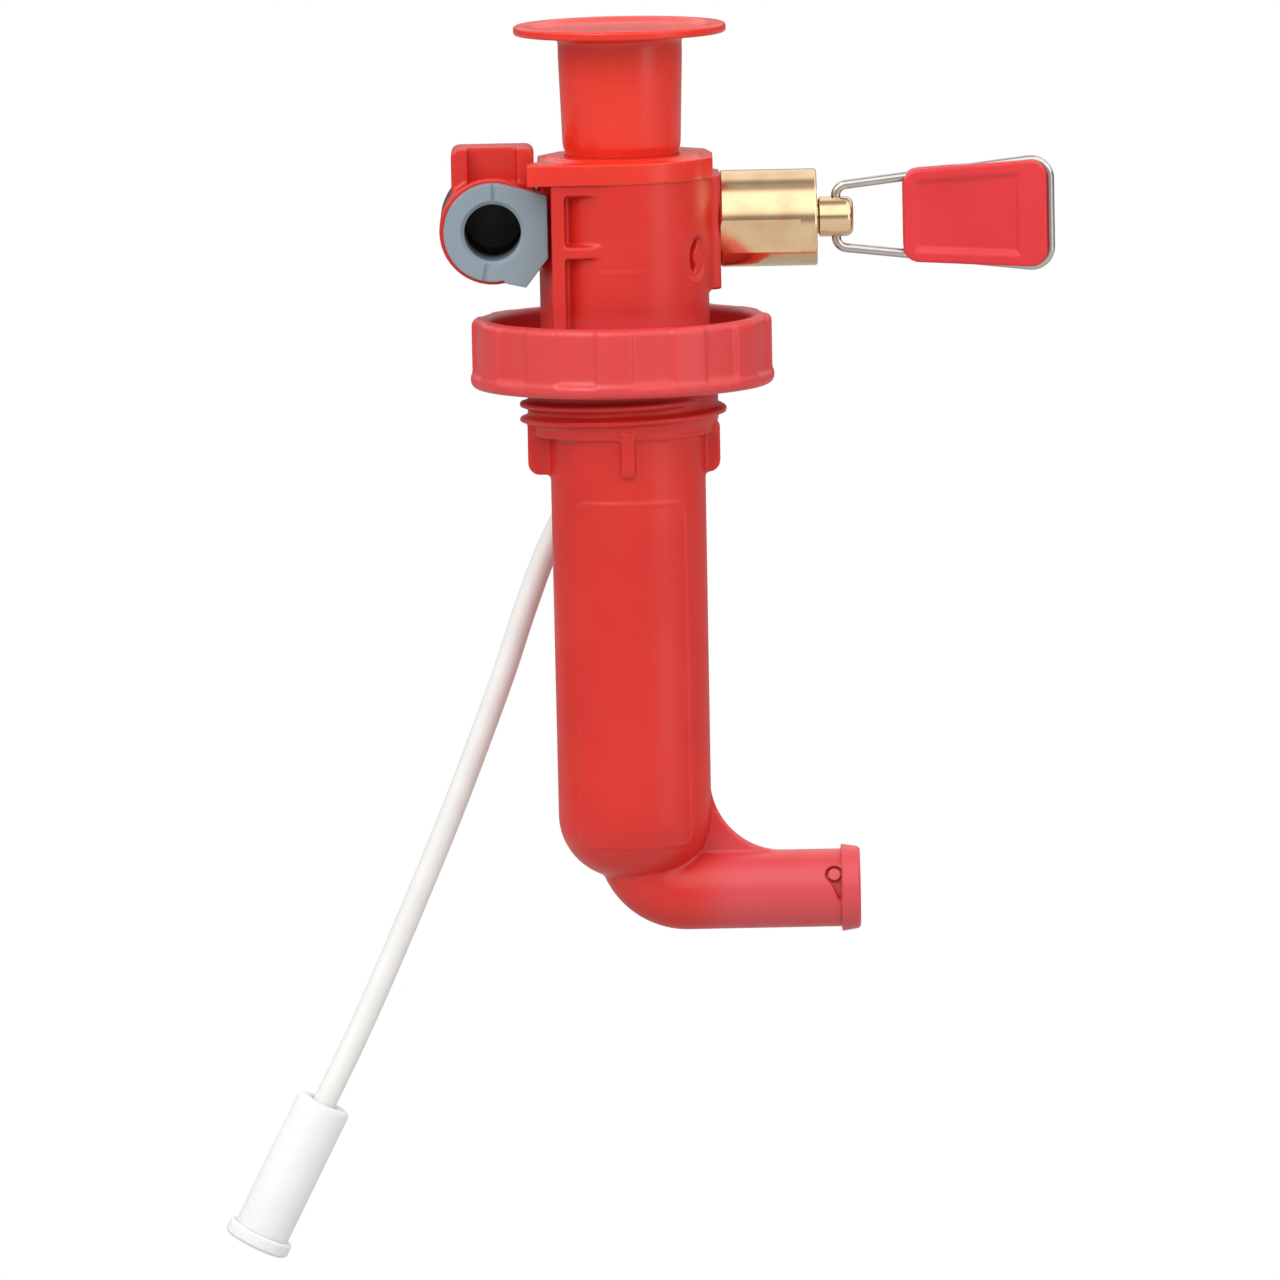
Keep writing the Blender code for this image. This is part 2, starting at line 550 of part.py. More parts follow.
def pump_body(finish):
    """The main moulding."""
    body = ring_and_neck()
    pieces = [thread(), on_pump_axis(lathe("barrel", barrel_profile(), steps=48))]
    pieces += wings()
    pieces.append(on_pump_axis(lathe("housing", [
        (0, RING_FLOOR_Z - 1 * MM), (HOUSING_R, RING_FLOOR_Z - 1 * MM),
        (HOUSING_R, HOUSING_TOP_Z), (0, HOUSING_TOP_Z)])))
    pieces.append(block("rib", (RIB_LEFT_X, RIB_RIGHT_X), (RIB_FRONT_Y, PUMP_Y),
                        (RING_FLOOR_Z - 1.4 * MM, HOUSING_TOP_Z - 0.2 * MM)))
    for i, z in enumerate(GUSSET_ZS):
        pieces.append(block(f"gusset_{i}", (RIB_RIGHT_X - 0.5 * MM, GUSSET_RIGHT_X),
                            (RIB_FRONT_Y + 0.1 * MM, PUMP_Y - 4 * MM), (z - GUSSET_T / 2, z + GUSSET_T / 2)))
    pieces.append(prism("gallery", gallery_outline(), BLOCK_LOW_Z, HOUSING_TOP_Z - 0.4 * MM))
    pieces.append(rod("suction_column", SUCTION_COLUMN_R, (SUCTION_X, SUCTION_Y, RING_FLOOR_Z - 1.8 * MM),
                      (SUCTION_X, SUCTION_Y, BLOCK_LOW_Z + 1 * MM), steps=24))
    pieces.append(rod("port", PORT_R, (PORT_X, PORT_BACK_Y, PORT_Z), (PORT_X, PORT_FRONT_Y, PORT_Z)))
    pieces.append(block("bridge", (PORT_X + 4 * MM, -6 * MM), (PORT_FRONT_Y + 2.4 * MM, SUCTION_Y),
                        (PORT_Z - 5.2 * MM, PORT_Z + 5.0 * MM)))
    pieces.append(block("catch", (CATCH_LEFT_X, CATCH_RIGHT_X), (CATCH_FRONT_Y, CATCH_BACK_Y),
                        (PORT_Z + 4.0 * MM, CATCH_TOP_Z)))
    path = elbow_path()
    run = [(PUMP_X, PUMP_Y, BARREL_CORNER_Z - 1 * MM)] + path + [(ELBOW_END_X, PUMP_Y, ELBOW_Z)]
    pieces.append(sweep("elbow", run, ELBOW_R, sides=28))
    pieces.append(prism("web", web_outline(), PUMP_Y - WEB_T / 2, PUMP_Y + WEB_T / 2, plane="XZ"))
    combine(body, pieces, "UNION", "MANIFOLD")

    slot_x = (CATCH_LEFT_X + CATCH_RIGHT_X) / 2
    pin_axis = Vector((PIN_X, PUMP_Y, ELBOW_Z))
    sleeve_low = HOUSING_TOP_Z - BUSHING_SLEEVE_L - GAP
    cutters = [
        on_pump_axis(lathe("cylinder", [(0, CYLINDER_FLOOR_Z), (CYLINDER_R, CYLINDER_FLOOR_Z),
                                        (CYLINDER_R, sleeve_low), (BUSHING_SLEEVE_R + GAP, sleeve_low),
                                        (BUSHING_SLEEVE_R + GAP, HOUSING_TOP_Z + 1 * MM),
                                        (0, HOUSING_TOP_Z + 1 * MM)])),
        sweep("outlet", [(PUMP_X, PUMP_Y, CYLINDER_FLOOR_Z + 1 * MM)] + path
              + [(CHAMBER_X + 1 * MM, PUMP_Y, ELBOW_Z)], OUTLET_R, sides=16),
        rod("chamber", CHAMBER_R, (CHAMBER_X, PUMP_Y, ELBOW_Z), (ELBOW_END_X + 1 * MM, PUMP_Y, ELBOW_Z),
            steps=32),
        slot_cutter(),
        rod("pin_seat", SLOT_W / 2, pin_axis + pin_way() * (CHAMBER_R - 0.5 * MM),
            pin_axis + pin_way() * (ELBOW_R + 1 * MM), steps=16),
        block("catch_slot", (slot_x - CATCH_SLOT_W / 2, slot_x + CATCH_SLOT_W / 2),
              (CATCH_FRONT_Y - 1 * MM, CATCH_FRONT_Y + CATCH_SLOT_D),
              (PORT_Z + PORT_R - 1.4 * MM, CATCH_TOP_Z + 1 * MM)),
        rod("port_socket", PORT_SOCKET_R, (PORT_X, PORT_SOCKET_END_Y, PORT_Z),
            (PORT_X, PORT_FRONT_Y - 1 * MM, PORT_Z)),
        rod("port_bore", PORT_BORE_R, (PORT_X, PORT_BACK_Y - 1.4 * MM, PORT_Z),
            (PORT_X, PORT_SOCKET_END_Y - 1 * MM, PORT_Z), steps=32),
    ]
    seat_x = BLOCK_RIGHT_X - NUT_SPIGOT_L - WASHER_T - GAP
    gallery_y = BLOCK_BACK_Y - 2.7 * MM
    low_z = BLOCK_LOW_Z + 4 * MM
    feed_x = BLOCK_RIGHT_X - 1.9 * MM
    cutters += [
        rod("valve_bore", VALVE_BORE_R, (seat_x, VALVE_Y, VALVE_Z), (BLOCK_RIGHT_X + 1 * MM, VALVE_Y, VALVE_Z),
            steps=32),
        rod("seal_bore", SEAL_R_OUT + GAP, (BLOCK_RIGHT_X - SEAL_T, VALVE_Y, VALVE_Z),
            (BLOCK_RIGHT_X + 1 * MM, VALVE_Y, VALVE_Z), steps=32),
        sweep("fuel_out", [(seat_x + 0.5 * MM, VALVE_Y, VALVE_Z), (seat_x - PASSAGE_R, VALVE_Y, VALVE_Z),
                           (seat_x - PASSAGE_R - 0.2 * MM, VALVE_Y + 0.4 * MM, VALVE_Z),
                           (seat_x - PASSAGE_R - 0.2 * MM, gallery_y - 0.4 * MM, VALVE_Z),
                           (seat_x - PASSAGE_R - 0.6 * MM, gallery_y, VALVE_Z),
                           (PORT_X, gallery_y, VALVE_Z)], PASSAGE_R, sides=12),
        sweep("fuel_in", [(SUCTION_X, SUCTION_Y, COLLAR_LOW_Z - 1 * MM), (SUCTION_X, SUCTION_Y, low_z - 1 * MM),
                          (SUCTION_X + 1 * MM, SUCTION_Y, low_z), (feed_x - 1 * MM, SUCTION_Y, low_z),
                          (feed_x, SUCTION_Y - 1 * MM, low_z), (feed_x, VALVE_Y + 1 * MM, low_z),
                          (feed_x, VALVE_Y, low_z + 1 * MM), (feed_x, VALVE_Y, VALVE_Z - 1 * MM)],
              PASSAGE_R, sides=12),
        rod("barb_socket", BARB_R + GAP, (SUCTION_X, SUCTION_Y, COLLAR_LOW_Z - 1 * MM),
            (SUCTION_X, SUCTION_Y, COLLAR_LOW_Z + 5 * MM), steps=20),
    ]
    turn = math.radians(POCKET_DEG)
    way = Vector((math.sin(turn), -math.cos(turn), 0))
    skin = Vector((PUMP_X, PUMP_Y, POCKET_Z)) + way * HOUSING_R
    cutters.append(rod("pocket", POCKET_R, skin - way * POCKET_DEPTH, skin + way * 3 * MM, steps=24))
    combine(body, cutters, "DIFFERENCE", "MANIFOLD")
    body.data.materials.clear()
    body.data.materials.append(finish)
    return smooth(body)


def plunger_bushing(finish):
    """The bushing that guides the plunger, with the plate that covers the housing."""
    low = HOUSING_TOP_Z + GAP
    right = BLOCK_RIGHT_X - 0.9 * MM
    left = CATCH_RIGHT_X + 0.5 * MM
    plate = [(left - 1.4 * MM, BUSHING_FRONT_Y)]
    reach = PUMP_Y - BUSHING_FRONT_Y
    plate += [(x, z) for x, z in arc(PUMP_X, PUMP_Y, reach, -90, -25, 7)]
    plate += [
        (right, PUMP_Y - 2.5 * MM), (right, BLOCK_BACK_Y - 9 * MM), (right - 0.9 * MM, BLOCK_BACK_Y - 3 * MM),
        (right - 4.5 * MM, BLOCK_BACK_Y + 0.5 * MM), (BLOCK_LEFT_X + 6.8 * MM, BLOCK_BACK_Y + 0.5 * MM),
        (BLOCK_LEFT_X + 2.4 * MM, BLOCK_BACK_Y - 3.5 * MM), (left, CATCH_BACK_Y), (left, CATCH_FRONT_Y - 1 * MM),
        (left - 1.4 * MM, CATCH_FRONT_Y - 4 * MM),
    ]
    body = prism("plunger_bushing", plate, low, BUSHING_TOP_Z, finish)
    sleeve = on_pump_axis(lathe("sleeve", [
        (0, HOUSING_TOP_Z - BUSHING_SLEEVE_L), (BUSHING_SLEEVE_R, HOUSING_TOP_Z - BUSHING_SLEEVE_L),
        (BUSHING_SLEEVE_R, low + 1 * MM), (0, low + 1 * MM)]))
    hub = on_pump_axis(lathe("hub", [
        (0, BUSHING_TOP_Z - 1 * MM), (HUB_R + HUB_H, BUSHING_TOP_Z - 1 * MM),
        (HUB_R, BUSHING_TOP_Z + HUB_H), (0, BUSHING_TOP_Z + HUB_H)]))
    combine(body, [sleeve, hub], "UNION")
    hole = on_pump_axis(lathe("hole", [
        (0, HOUSING_TOP_Z - BUSHING_SLEEVE_L - 1 * MM),
        (ROD_R + GAP, HOUSING_TOP_Z - BUSHING_SLEEVE_L - 1 * MM),
        (ROD_R + GAP, BUSHING_TOP_Z + 2 * MM), (0, BUSHING_TOP_Z + 2 * MM)]))
    combine(body, [hole], "DIFFERENCE")
    return smooth(body)


def plunger(finish):
    """The button and its hollow rod, open at the lower end."""
    under = HEAD_TOP_Z - HEAD_RIM_T
    made = lathe("plunger", [
        (0, HEAD_TOP_Z - HEAD_DISH), (HEAD_DISH_R - 0.5 * MM, HEAD_TOP_Z - HEAD_DISH),
        (HEAD_DISH_R, HEAD_TOP_Z), (HEAD_R - 0.5 * MM, HEAD_TOP_Z),
        (HEAD_R, HEAD_TOP_Z - 0.4 * MM), (HEAD_R, under + 0.4 * MM), (HEAD_R - 0.5 * MM, under),
        (ROD_TOP_R + 0.3 * MM, under - 1.0 * MM), (ROD_TOP_R, under - 1.5 * MM),
        (ROD_R + 0.3 * MM, ROD_SHOULDER_Z + 1.2 * MM), (ROD_R, ROD_SHOULDER_Z), (ROD_R, ROD_LOW_Z),
        (ROD_BORE_R, ROD_LOW_Z), (ROD_BORE_R, under - 4 * MM), (0, under - 4 * MM)], finish)
    return smooth(on_pump_axis(made))


def cup_carrier(finish):
    """The plug in the rod's lower end that carries the pump cup."""
    flange = ROD_LOW_Z - GAP
    seat = flange - CARRIER_FLANGE_T
    foot = seat - GAP - CUP_T
    top = flange + CARRIER_PLUG_L
    hole = RETAINER_PIN_R + GAP
    hole_top = foot + RETAINER_PIN_L
    made = lathe("cup_carrier", [
        (0, top), (ROD_BORE_R - GAP, top), (ROD_BORE_R - GAP, flange), (CARRIER_FLANGE_R, flange),
        (CARRIER_FLANGE_R, seat), (SPIGOT_R, seat), (SPIGOT_R, foot), (hole, foot), (hole, hole_top),
        (0, hole_top)], finish, steps=36)
    return smooth(on_pump_axis(made))


def pump_cup(finish):
    """The cup whose lip seals against the cylinder on the down stroke."""
    top = ROD_LOW_Z - GAP - CARRIER_FLANGE_T - GAP
    hole = SPIGOT_R + GAP
    made = lathe("pump_cup", [
        (hole, top), (CUP_R - 1.6 * MM, top), (CUP_R - 0.4 * MM, top - 0.9 * MM), (CUP_R, top - 2.4 * MM),
        (CUP_R, top - CUP_H), (CUP_R - 0.7 * MM, top - CUP_H), (CUP_R - 1.5 * MM, top - CUP_T - 0.6 * MM),
        (CUP_R - 2.4 * MM, top - CUP_T), (hole, top - CUP_T)], finish, ring=True)
    return smooth(on_pump_axis(made))


def cup_retainer(finish):
    """The washer-headed pin that holds the cup on its carrier."""
    top = ROD_LOW_Z - GAP - CARRIER_FLANGE_T - GAP - CUP_T - GAP
    made = lathe("cup_retainer", [
        (0, top + RETAINER_PIN_L - 1 * MM), (RETAINER_PIN_R, top + RETAINER_PIN_L - 1 * MM),
        (RETAINER_PIN_R, top), (RETAINER_R, top), (RETAINER_R, top - RETAINER_T + 0.3 * MM),
        (RETAINER_R - 0.4 * MM, top - RETAINER_T), (0, top - RETAINER_T)], finish, steps=36)
    return smooth(on_pump_axis(made))


def valve_nut(finish):
    """The turned brass body of the fuel valve, with two wrench flats."""
    face = BLOCK_RIGHT_X + GAP
    bore = SPINDLE_R + GAP
    recess = ORING_R + GAP
    end = NUT_END_X
    made = on_valve_axis(lathe("valve_nut", [
        (bore, BLOCK_RIGHT_X - NUT_SPIGOT_L + GAP), (NUT_SPIGOT_R, BLOCK_RIGHT_X - NUT_SPIGOT_L + GAP),
        (NUT_SPIGOT_R, face), (NUT_R - 0.3 * MM, face), (NUT_R, face + 0.3 * MM),
        (NUT_R, end - 0.25 * MM), (NUT_R - 0.25 * MM, end), (recess, end),
        (recess, end - 6.5 * MM), (bore, end - 6.5 * MM)], finish, ring=True))
    cutters = []
    for side in (-1, 1):
        cutter = block(f"flat_{side}", (face - 1 * MM, NUT_FLAT_END_X), sorted((side * NUT_FLAT, side * 9 * MM)),
                       (-8 * MM, 8 * MM))
        cutter.rotation_euler = (math.radians(NUT_FLAT_DEG), 0, 0)
        cutter.location = (0, VALVE_Y, VALVE_Z)
        cutters.append(cutter)
    return smooth(combine(made, cutters, "DIFFERENCE"))


def valve_body_oring(finish):
    """The ring that seals the nut to the body."""
    low = BLOCK_RIGHT_X - SEAL_T + 0.1 * MM
    high = BLOCK_RIGHT_X + 0.15 * MM
    made = lathe("valve_body_oring", [(SEAL_R_IN, low), (SEAL_R_OUT, low), (SEAL_R_OUT, high), (SEAL_R_IN, high)],
                 finish, steps=36, ring=True)
    return smooth(on_valve_axis(made))


def valve_seat_washer(finish):
    """The seat that the spindle's cone closes on."""
    low = BLOCK_RIGHT_X - NUT_SPIGOT_L - WASHER_T
    made = lathe("valve_seat_washer", [
        (WASHER_HOLE_R, low), (NUT_SPIGOT_R, low), (NUT_SPIGOT_R, low + WASHER_T),
        (WASHER_HOLE_R, low + WASHER_T)], finish, steps=32, ring=True)
    return smooth(on_valve_axis(made))


def valve_spindle(finish):
    """The brass spindle: cone, shank with a ring groove, and the stem with its cross-hole."""
    tip = BLOCK_RIGHT_X - NUT_SPIGOT_L - WASHER_T + 0.2 * MM
    groove = NUT_END_X - 4.6 * MM
    stem = NUT_END_X + GAP
    made = on_valve_axis(lathe("valve_spindle", [
        (0, tip), (WASHER_HOLE_R - 0.7 * MM, tip), (SPINDLE_R, tip + 2.4 * MM), (SPINDLE_R, groove - 0.9 * MM),
        (ORING_R - 0.1 * MM, groove - 0.9 * MM), (ORING_R - 0.1 * MM, groove - GAP), (SPINDLE_R, groove - GAP),
        (SPINDLE_R, groove + ORING_T + GAP), (ORING_R - 0.1 * MM, groove + ORING_T + GAP),
        (ORING_R - 0.1 * MM, stem - 0.9 * MM), (STEM_R - 0.3 * MM, stem - 0.5 * MM), (STEM_R - 0.3 * MM, stem),
        (STEM_R, stem + 0.2 * MM), (STEM_R, STEM_END_X - 0.7 * MM), (STEM_R - 0.25 * MM, STEM_END_X - 0.2 * MM),
        (STEM_R - 0.8 * MM, STEM_END_X), (0, STEM_END_X)], finish, steps=32))
    hole = rod("cross_hole", WIRE_R + 0.15 * MM, (BAIL_X, VALVE_Y, VALVE_Z - 2 * STEM_R),
               (BAIL_X, VALVE_Y, VALVE_Z + 2 * STEM_R), steps=16)
    return smooth(combine(made, [hole], "DIFFERENCE"))


def valve_oring(finish):
    """The ring that seals the spindle in the nut, and travels with it."""
    low = NUT_END_X - 4.6 * MM
    made = lathe("valve_oring", [
        (SPINDLE_R + 0.2 * MM, low), (ORING_R, low), (ORING_R, low + ORING_T),
        (SPINDLE_R + 0.2 * MM, low + ORING_T)], finish, steps=32, ring=True)
    return smooth(on_valve_axis(made))


def bail_path():
    """The wire's centreline, from one end in the cross-hole round to the other."""
    corners = [(BAIL_X, WIRE_END), (BAIL_X, BAIL_HALF_NEAR), (BAIL_END_X, BAIL_HALF_FAR),
               (BAIL_END_X, -BAIL_HALF_FAR), (BAIL_X, -BAIL_HALF_NEAR), (BAIL_X, -WIRE_END)]
    radii = [0, BAIL_BEND_R, BAIL_CORNER_R, BAIL_CORNER_R, BAIL_BEND_R, 0]
    return [(x, VALVE_Y, VALVE_Z + z) for x, z in rounded(corners, radii)]


def bail_wire(finish):
    """The bent wire that turns the valve."""
    return smooth(sweep("bail_wire", bail_path(), WIRE_R, finish, sides=12))


def handle_grip(finish):
    """The moulded grip, grooved round its edge for the wire."""
    corners = [(GRIP_LEFT_X, -GRIP_HALF_LEFT), (GRIP_LEFT_X, GRIP_HALF_LEFT),
               (GRIP_RIGHT_X, GRIP_HALF_RIGHT), (GRIP_RIGHT_X, -GRIP_HALF_RIGHT)]
    outline = [(x, VALVE_Z + z) for x, z in rounded(corners, [GRIP_CORNER_R] * 4)]
    front = VALVE_Y - GRIP_T / 2
    back = VALVE_Y + GRIP_T / 2
    made = prism("handle_grip", outline, front, back, finish, plane="XZ")
    inset = GRIP_PANEL_INSET
    cutters = [sweep("wire_groove", bail_path(), WIRE_R + GAP, sides=12)]
    panel = [(GRIP_LEFT_X + inset, -GRIP_HALF_LEFT + inset), (GRIP_LEFT_X + inset, GRIP_HALF_LEFT - inset),
             (GRIP_RIGHT_X - 2 * inset, GRIP_HALF_RIGHT - 1.3 * inset),
             (GRIP_RIGHT_X - 2 * inset, -GRIP_HALF_RIGHT + 1.3 * inset)]
    face = [(x, VALVE_Z + z) for x, z in panel]
    cutters.append(prism("panel_front", face, front - 1 * MM, front + GRIP_PANEL_DEPTH, plane="XZ"))
    cutters.append(prism("panel_back", face, back - GRIP_PANEL_DEPTH, back + 1 * MM, plane="XZ"))
    return smooth(combine(made, cutters, "DIFFERENCE"))


def fuel_tube_bushing(finish):
    """The bushing that guides the stove's fuel tube, with its locking tab."""
    outline = [(PORT_X + 0.9 * MM, PORT_Z + FLANGE_R), (TAB_RIGHT_X, PORT_Z + 5.0 * MM),
               (TAB_RIGHT_X, PORT_Z - 3.6 * MM), (TAB_LOBE_X, PORT_Z - 7.6 * MM),
               (PORT_X + 1.7 * MM, PORT_Z - 7.0 * MM)]
    outline += arc(PORT_X, PORT_Z, FLANGE_R, -78, -276, 22)
    made = prism("fuel_tube_bushing", outline, FLANGE_FRONT_Y, PORT_FRONT_Y - GAP, finish, plane="XZ")
    sleeve = rod("sleeve", SLEEVE_R, (PORT_X, SLEEVE_END_Y, PORT_Z), (PORT_X, PORT_FRONT_Y - 0.6 * MM, PORT_Z))
    combine(made, [sleeve], "UNION")
    depth = -FLANGE_FRONT_Y
    bore = on_port_axis(lathe("bore", [
        (0, -SLEEVE_END_Y - 1 * MM), (PORT_BORE_R, -SLEEVE_END_Y - 1 * MM),
        (PORT_BORE_R, depth - FLANGE_CHAMFER), (PORT_BORE_R + 2 * FLANGE_CHAMFER, depth + FLANGE_CHAMFER),
        (0, depth + FLANGE_CHAMFER)]))
    return smooth(combine(made, [bore], "DIFFERENCE"))


def fuel_tube_oring(finish):
    """The ring that seals round the stove's fuel tube, behind the bushing."""
    centre = -(SLEEVE_END_Y + PORT_SOCKET_END_Y) / 2
    section = 0.7 * MM
    middle = PORT_SOCKET_R - GAP - section
    profile = arc(middle, centre, section, 0, 315, 7)
    return smooth(on_port_axis(lathe("fuel_tube_oring", profile, finish, steps=32, ring=True)))


def bottle_gasket(finish):
    """The ring that seals the bottle's mouth, in a groove under the grip ring."""
    low = GASKET_TOP_Z - GASKET_T
    made = lathe("bottle_gasket", [
        (GASKET_R_IN, GASKET_TOP_Z), (GASKET_R_OUT, GASKET_TOP_Z), (GASKET_R_OUT, low),
        (GASKET_R_IN, low)], finish, steps=2 * SIDES, ring=True)
    return smooth(made)


def check_ball(finish):
    """The ball of the check valve, resting on the outlet's mouth."""
    seat = CHAMBER_X + math.sqrt(BALL_R ** 2 - OUTLET_R ** 2) + 0.1 * MM
    profile = [(max(0.0, BALL_R * math.sin(math.radians(15 * k))), seat - BALL_R * math.cos(math.radians(15 * k)))
               for k in range(13)]
    profile[-1] = (0, seat + BALL_R)
    return smooth(on_outlet_axis(lathe("check_ball", profile, finish, steps=24)), 60)


def check_spring(finish):
    """The spring that closes the ball, between it and the cap."""
    ball_x = CHAMBER_X + math.sqrt(BALL_R ** 2 - OUTLET_R ** 2) + 0.1 * MM
    touch = ball_x + math.sqrt(BALL_R ** 2 - (SPRING_R - SPRING_WIRE_R) ** 2)
    first = touch + GAP + SPRING_WIRE_R
    last = ELBOW_END_X - SPRING_WIRE_R
    count = SPRING_TURNS * 12
    path = []
    for i in range(count + 1):
        turn = 2 * math.pi * i / 12
        along = first + (last - first) * i / count
        path.append((along, PUMP_Y + SPRING_R * math.cos(turn), ELBOW_Z + SPRING_R * math.sin(turn)))
    return smooth(sweep("check_spring", path, SPRING_WIRE_R, finish, sides=6), 70)


def check_valve_cap(finish):
    """The bayonet cap that closes the check valve, with its pin in the tube's slot."""
    face = ELBOW_END_X + GAP
    end = face + CAP_FLANGE_T
    low = face - CAP_SLEEVE_L
    groove = low + 0.8 * MM
    made = on_outlet_axis(lathe("check_valve_cap", [
        (CAP_SLEEVE_IN_R, low), (CAP_SLEEVE_R, low), (CAP_SLEEVE_R, groove), (CAP_GROOVE_R, groove),
        (CAP_GROOVE_R, groove + CAP_GROOVE_W), (CAP_SLEEVE_R, groove + CAP_GROOVE_W), (CAP_SLEEVE_R, face),
        (CAP_FLANGE_R, face), (CAP_FLANGE_R, end - 0.3 * MM), (CAP_FLANGE_R - 0.3 * MM, end),
        (CAP_HOLE_R, end), (CAP_HOLE_R, face), (CAP_SLEEVE_IN_R, face)], finish, steps=32, ring=True))
    axis = Vector((PIN_X, PUMP_Y, ELBOW_Z))
    pin = rod("pin", PIN_R, axis + pin_way() * (CAP_SLEEVE_R - 0.5 * MM), axis + pin_way() * (ELBOW_R - 0.1 * MM),
              steps=16)
    return smooth(combine(made, [pin], "UNION"))


def check_valve_oring(finish):
    """The ring in the cap's groove."""
    low = ELBOW_END_X + GAP - CAP_SLEEVE_L + 0.8 * MM
    middle = low + CAP_GROOVE_W / 2
    section = 0.33 * MM
    centre = CAP_GROOVE_R + 0.08 * MM + section
    profile = arc(centre, middle, section, 0, 300, 5)
    return smooth(on_outlet_axis(lathe("check_valve_oring", profile, finish, steps=36, ring=True)), 70)


def suction_barb(finish):
    """The fitting that carries the suction hose, pressed up into the collar."""
    top = COLLAR_LOW_Z + 4.5 * MM
    shoulder = COLLAR_LOW_Z - GAP
    made = lathe("suction_barb", [
        (BARB_BORE_R, top), (BARB_R, top), (BARB_R, shoulder), (BARB_SHOULDER_R, shoulder),
        (BARB_SHOULDER_R, shoulder - 0.8 * MM), (BARB_R, shoulder - 0.8 * MM),
        (BARB_R, BARB_LOW_Z), (BARB_BORE_R, BARB_LOW_Z)], finish, steps=20, ring=True)
    made.location = (SUCTION_X, SUCTION_Y, 0)
    return smooth(made)


def hose_points():
    """The hose's centreline: a smooth curve through its route, ending inside the filter's top."""
    tilt = math.radians(FILTER_TILT_DEG)
    inward = Vector((-math.sin(tilt), 0, -math.cos(tilt)))
    top = Vector(FILTER_TOP)
    route = [Vector((SUCTION_X, SUCTION_Y, BARB_LOW_Z - GAP))]
    route += [Vector(p) * MM for p in HOSE_ROUTE]
    route += [top - inward * 2 * MM, top + inward * 1.2 * MM]
    before = route[0] + Vector((0, 0, 3 * MM))
    after = route[-1] + inward * 3 * MM
    ends = [before] + route + [after]
    points = []
    for a, b, c, d in zip(ends, ends[1:], ends[2:], ends[3:]):
        pieces = max(1, round((c - b).length / (5 * HOSE_R)))
        for k in range(pieces):
            t = k / pieces
            points.append(0.5 * (2 * b + (c - a) * t + (2 * a - 5 * b + 4 * c - d) * t * t
                                 + (3 * b - a - 3 * c + d) * t * t * t))
    points.append(route[-1])
    return points


def suction_hose(finish):
    """The suction hose as a round curve."""
    curve = bpy.data.curves.new("suction_hose", "CURVE")
    curve.dimensions = "3D"
    curve.bevel_depth = HOSE_R
    curve.bevel_resolution = 2
    curve.render_resolution_u = 0
    curve.use_fill_caps = True
    spline = curve.splines.new("POLY")
    points = hose_points()
    spline.points.add(len(points) - 1)
    for slot, point in zip(spline.points, points):
        slot.co = (*point, 1)
    curve.materials.append(finish)
    obj = bpy.data.objects.new("suction_hose", curve)
    bpy.context.scene.collection.objects.link(obj)
    return obj


def filter_parts(plastic, mesh_finish):
    """The filter on the hose's end: shell, screen and end cap."""
    inner = FILTER_R - FILTER_WALL
    hole = HOSE_R + 0.35 * MM
    shell = lathe("filter_body", [
        (hole, 0), (FILTER_R - 0.3 * MM, 0), (FILTER_R, -0.3 * MM), (FILTER_R, -FILTER_L), (inner, -FILTER_L),
        (inner, -1.6 * MM), (hole, -1.6 * MM)], plastic, steps=36, ring=True)
    screen = lathe("filter_screen", [
        (SCREEN_R, -2.2 * MM), (SCREEN_R, -FILTER_L), (SCREEN_R - 0.4 * MM, -FILTER_L),
        (SCREEN_R - 0.4 * MM, -2.2 * MM)], mesh_finish, steps=28, ring=True)
    top = -FILTER_L - GAP
    plug = SCREEN_R - 0.4 * MM - GAP
    end = lathe("filter_cap", [
        (0.8 * MM, top + 3 * MM), (plug, top + 3 * MM), (plug, top), (FILTER_END_R, top),
        (FILTER_END_R, top - FILTER_END_T + 0.3 * MM), (FILTER_END_R - 0.3 * MM, top - FILTER_END_T),
        (0.8 * MM, top - FILTER_END_T)], plastic, steps=36, ring=True)
    for piece in (shell, screen, end):
        smooth(on_filter_axis(piece))


def build():
    for obj in list(bpy.data.objects):
        bpy.data.objects.remove(obj)
    red = material("red_moulding", (0.62, 0.035, 0.025), 0.35)
    bright_red = material("bright_red_moulding", (0.75, 0.05, 0.02), 0.3)
    grip_red = material("red_grip", (0.64, 0.05, 0.05), 0.45)
    grey = material("grey_moulding", (0.27, 0.31, 0.33), 0.4)
    brass = material("brass", (0.78, 0.58, 0.27), 0.25, 1.0)
    steel = material("steel_wire", (0.7, 0.7, 0.7), 0.2, 1.0)
    rubber = material("black_rubber", (0.02, 0.02, 0.02), 0.6)
    leather = material("cup_leather", (0.2, 0.1, 0.05), 0.7)
    white = material("white_plastic", (0.85, 0.85, 0.83), 0.5)
    nylon = material("natural_nylon", (0.8, 0.8, 0.76), 0.4)

    pump_body(red)
    plunger_bushing(bright_red)
    plunger(bright_red)
    cup_carrier(white)
    pump_cup(leather)
    cup_retainer(steel)
    valve_nut(brass)
    valve_body_oring(rubber)
    valve_seat_washer(nylon)
    valve_spindle(brass)
    valve_oring(rubber)
    bail_wire(steel)
    handle_grip(grip_red)
    fuel_tube_bushing(grey)
    fuel_tube_oring(rubber)
    bottle_gasket(rubber)
    check_ball(rubber)
    check_spring(steel)
    check_valve_cap(red)
    check_valve_oring(rubber)
    suction_barb(brass)
    suction_hose(nylon)
    filter_parts(white, nylon)


build()
